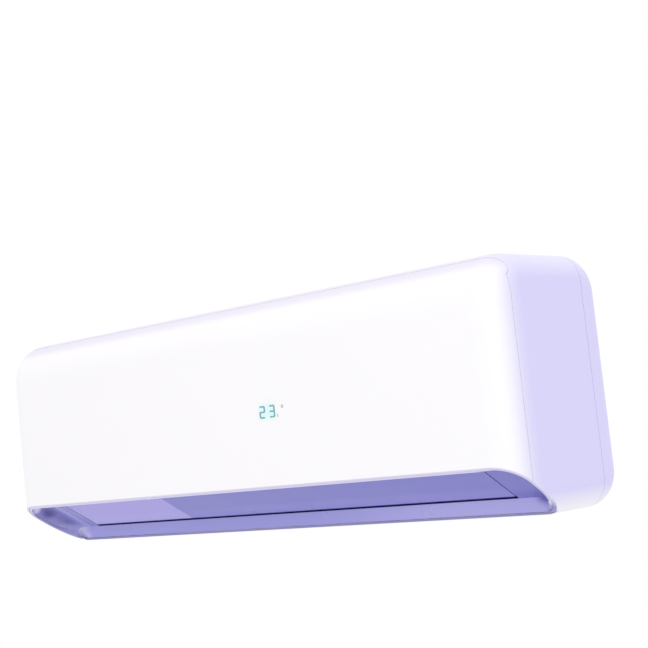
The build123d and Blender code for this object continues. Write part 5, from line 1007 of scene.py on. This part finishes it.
def pale_floor(stage):
    """A sheet of plain paper below the unit, on a grid of quads."""
    finish = Finish("floor_paper", 0.9)
    drift = finish.noise(1.5, 3.0)
    finish.join(finish.mix(drift, shade(stage.floor, 0.985), shade(stage.floor, 1.015)), "Base Color")
    steps = 9
    across = np.linspace(-stage.floor_half, stage.floor_half, steps)
    x, y = np.meshgrid(across, across, indexing="ij")
    points = np.stack([x, y, np.full_like(x, stage.floor_height)], axis=-1).reshape(-1, 3)
    quads = ring_quads(steps, steps, wrap_sides=False)[:, ::-1]
    mesh = bpy.data.meshes.new("floor")
    mesh.from_pydata(points.tolist(), [], quads.tolist())
    mesh.materials.append(finish.material)
    return add_object("floor", mesh)


def aimed_camera(stage):
    """A camera at its place, turned so that it looks along the view."""
    data = bpy.data.cameras.new("camera")
    data.sensor_fit, data.sensor_width = "HORIZONTAL", 36.0
    data.lens = stage.lens
    data.clip_start, data.clip_end = 0.01, 100.0
    back = -Vector(stage.camera_view).normalized()
    right = Vector(stage.camera_up).cross(back).normalized()
    turn = Matrix((right, back.cross(right), back)).transposed()
    camera = add_object("camera", data)
    camera.matrix_world = Matrix.Translation(Vector(stage.camera_place)) @ turn.to_4x4()
    return camera


class UNIT_OT_set_stage(Operator):
    """Set the floor, the light and the camera"""
    bl_idname = "indoor_unit.set_stage"
    bl_label = "Set the stage"

    def execute(self, context):
        stage = context.scene.unit_stage
        floor = pale_floor(stage)
        floor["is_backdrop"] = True
        middle = (0, -0.1, 0)
        lamp("key_lamp", (1.8, -2.2, 1.0), middle, 2.4, 1.8, stage.key)
        lamp("top_lamp", (0.0, -0.4, 2.4), middle, 2.6, 2.0, stage.fill)
        studio_air(stage.air)
        context.scene.camera = aimed_camera(stage)
        context.scene.view_settings.view_transform = "Standard"
        return {"FINISHED"}


OPERATORS = (
    UNIT_OT_dress_shell,
    UNIT_OT_dress_display,
    UNIT_OT_dress_outlet,
    UNIT_OT_build_fins,
    UNIT_OT_dress_coil,
    UNIT_OT_build_nuts,
    UNIT_OT_build_filters,
    UNIT_OT_dress_fan,
    UNIT_OT_dress_inside,
    UNIT_OT_dress_wall_plate,
    UNIT_OT_set_stage,
)


class UNIT_PT_looks(Panel):
    """The operators and settings of the indoor unit"""
    bl_idname = "UNIT_PT_looks"
    bl_label = "Indoor unit"
    bl_space_type = "VIEW_3D"
    bl_region_type = "UI"
    bl_category = "Indoor unit"

    def draw(self, context):
        for operator in OPERATORS:
            self.layout.operator(operator.bl_idname)
        for key, group in GROUPS:
            box = self.layout.box()
            box.label(text=key.capitalize())
            for field in group.__annotations__:
                box.prop(getattr(context.scene, "unit_" + key), field)


def register():
    for key, group in GROUPS:
        bpy.utils.register_class(group)
        setattr(bpy.types.Scene, "unit_" + key, PointerProperty(type=group))
    for operator in OPERATORS:
        bpy.utils.register_class(operator)
    bpy.utils.register_class(UNIT_PT_looks)


def unregister():
    bpy.utils.unregister_class(UNIT_PT_looks)
    for operator in reversed(OPERATORS):
        bpy.utils.unregister_class(operator)
    for key, group in reversed(GROUPS):
        delattr(bpy.types.Scene, "unit_" + key)
        bpy.utils.unregister_class(group)


def main():
    register()
    for operator in OPERATORS:
        group, name = operator.bl_idname.split(".")
        getattr(getattr(bpy.ops, group), name)()


if __name__ == "__main__":
    main()
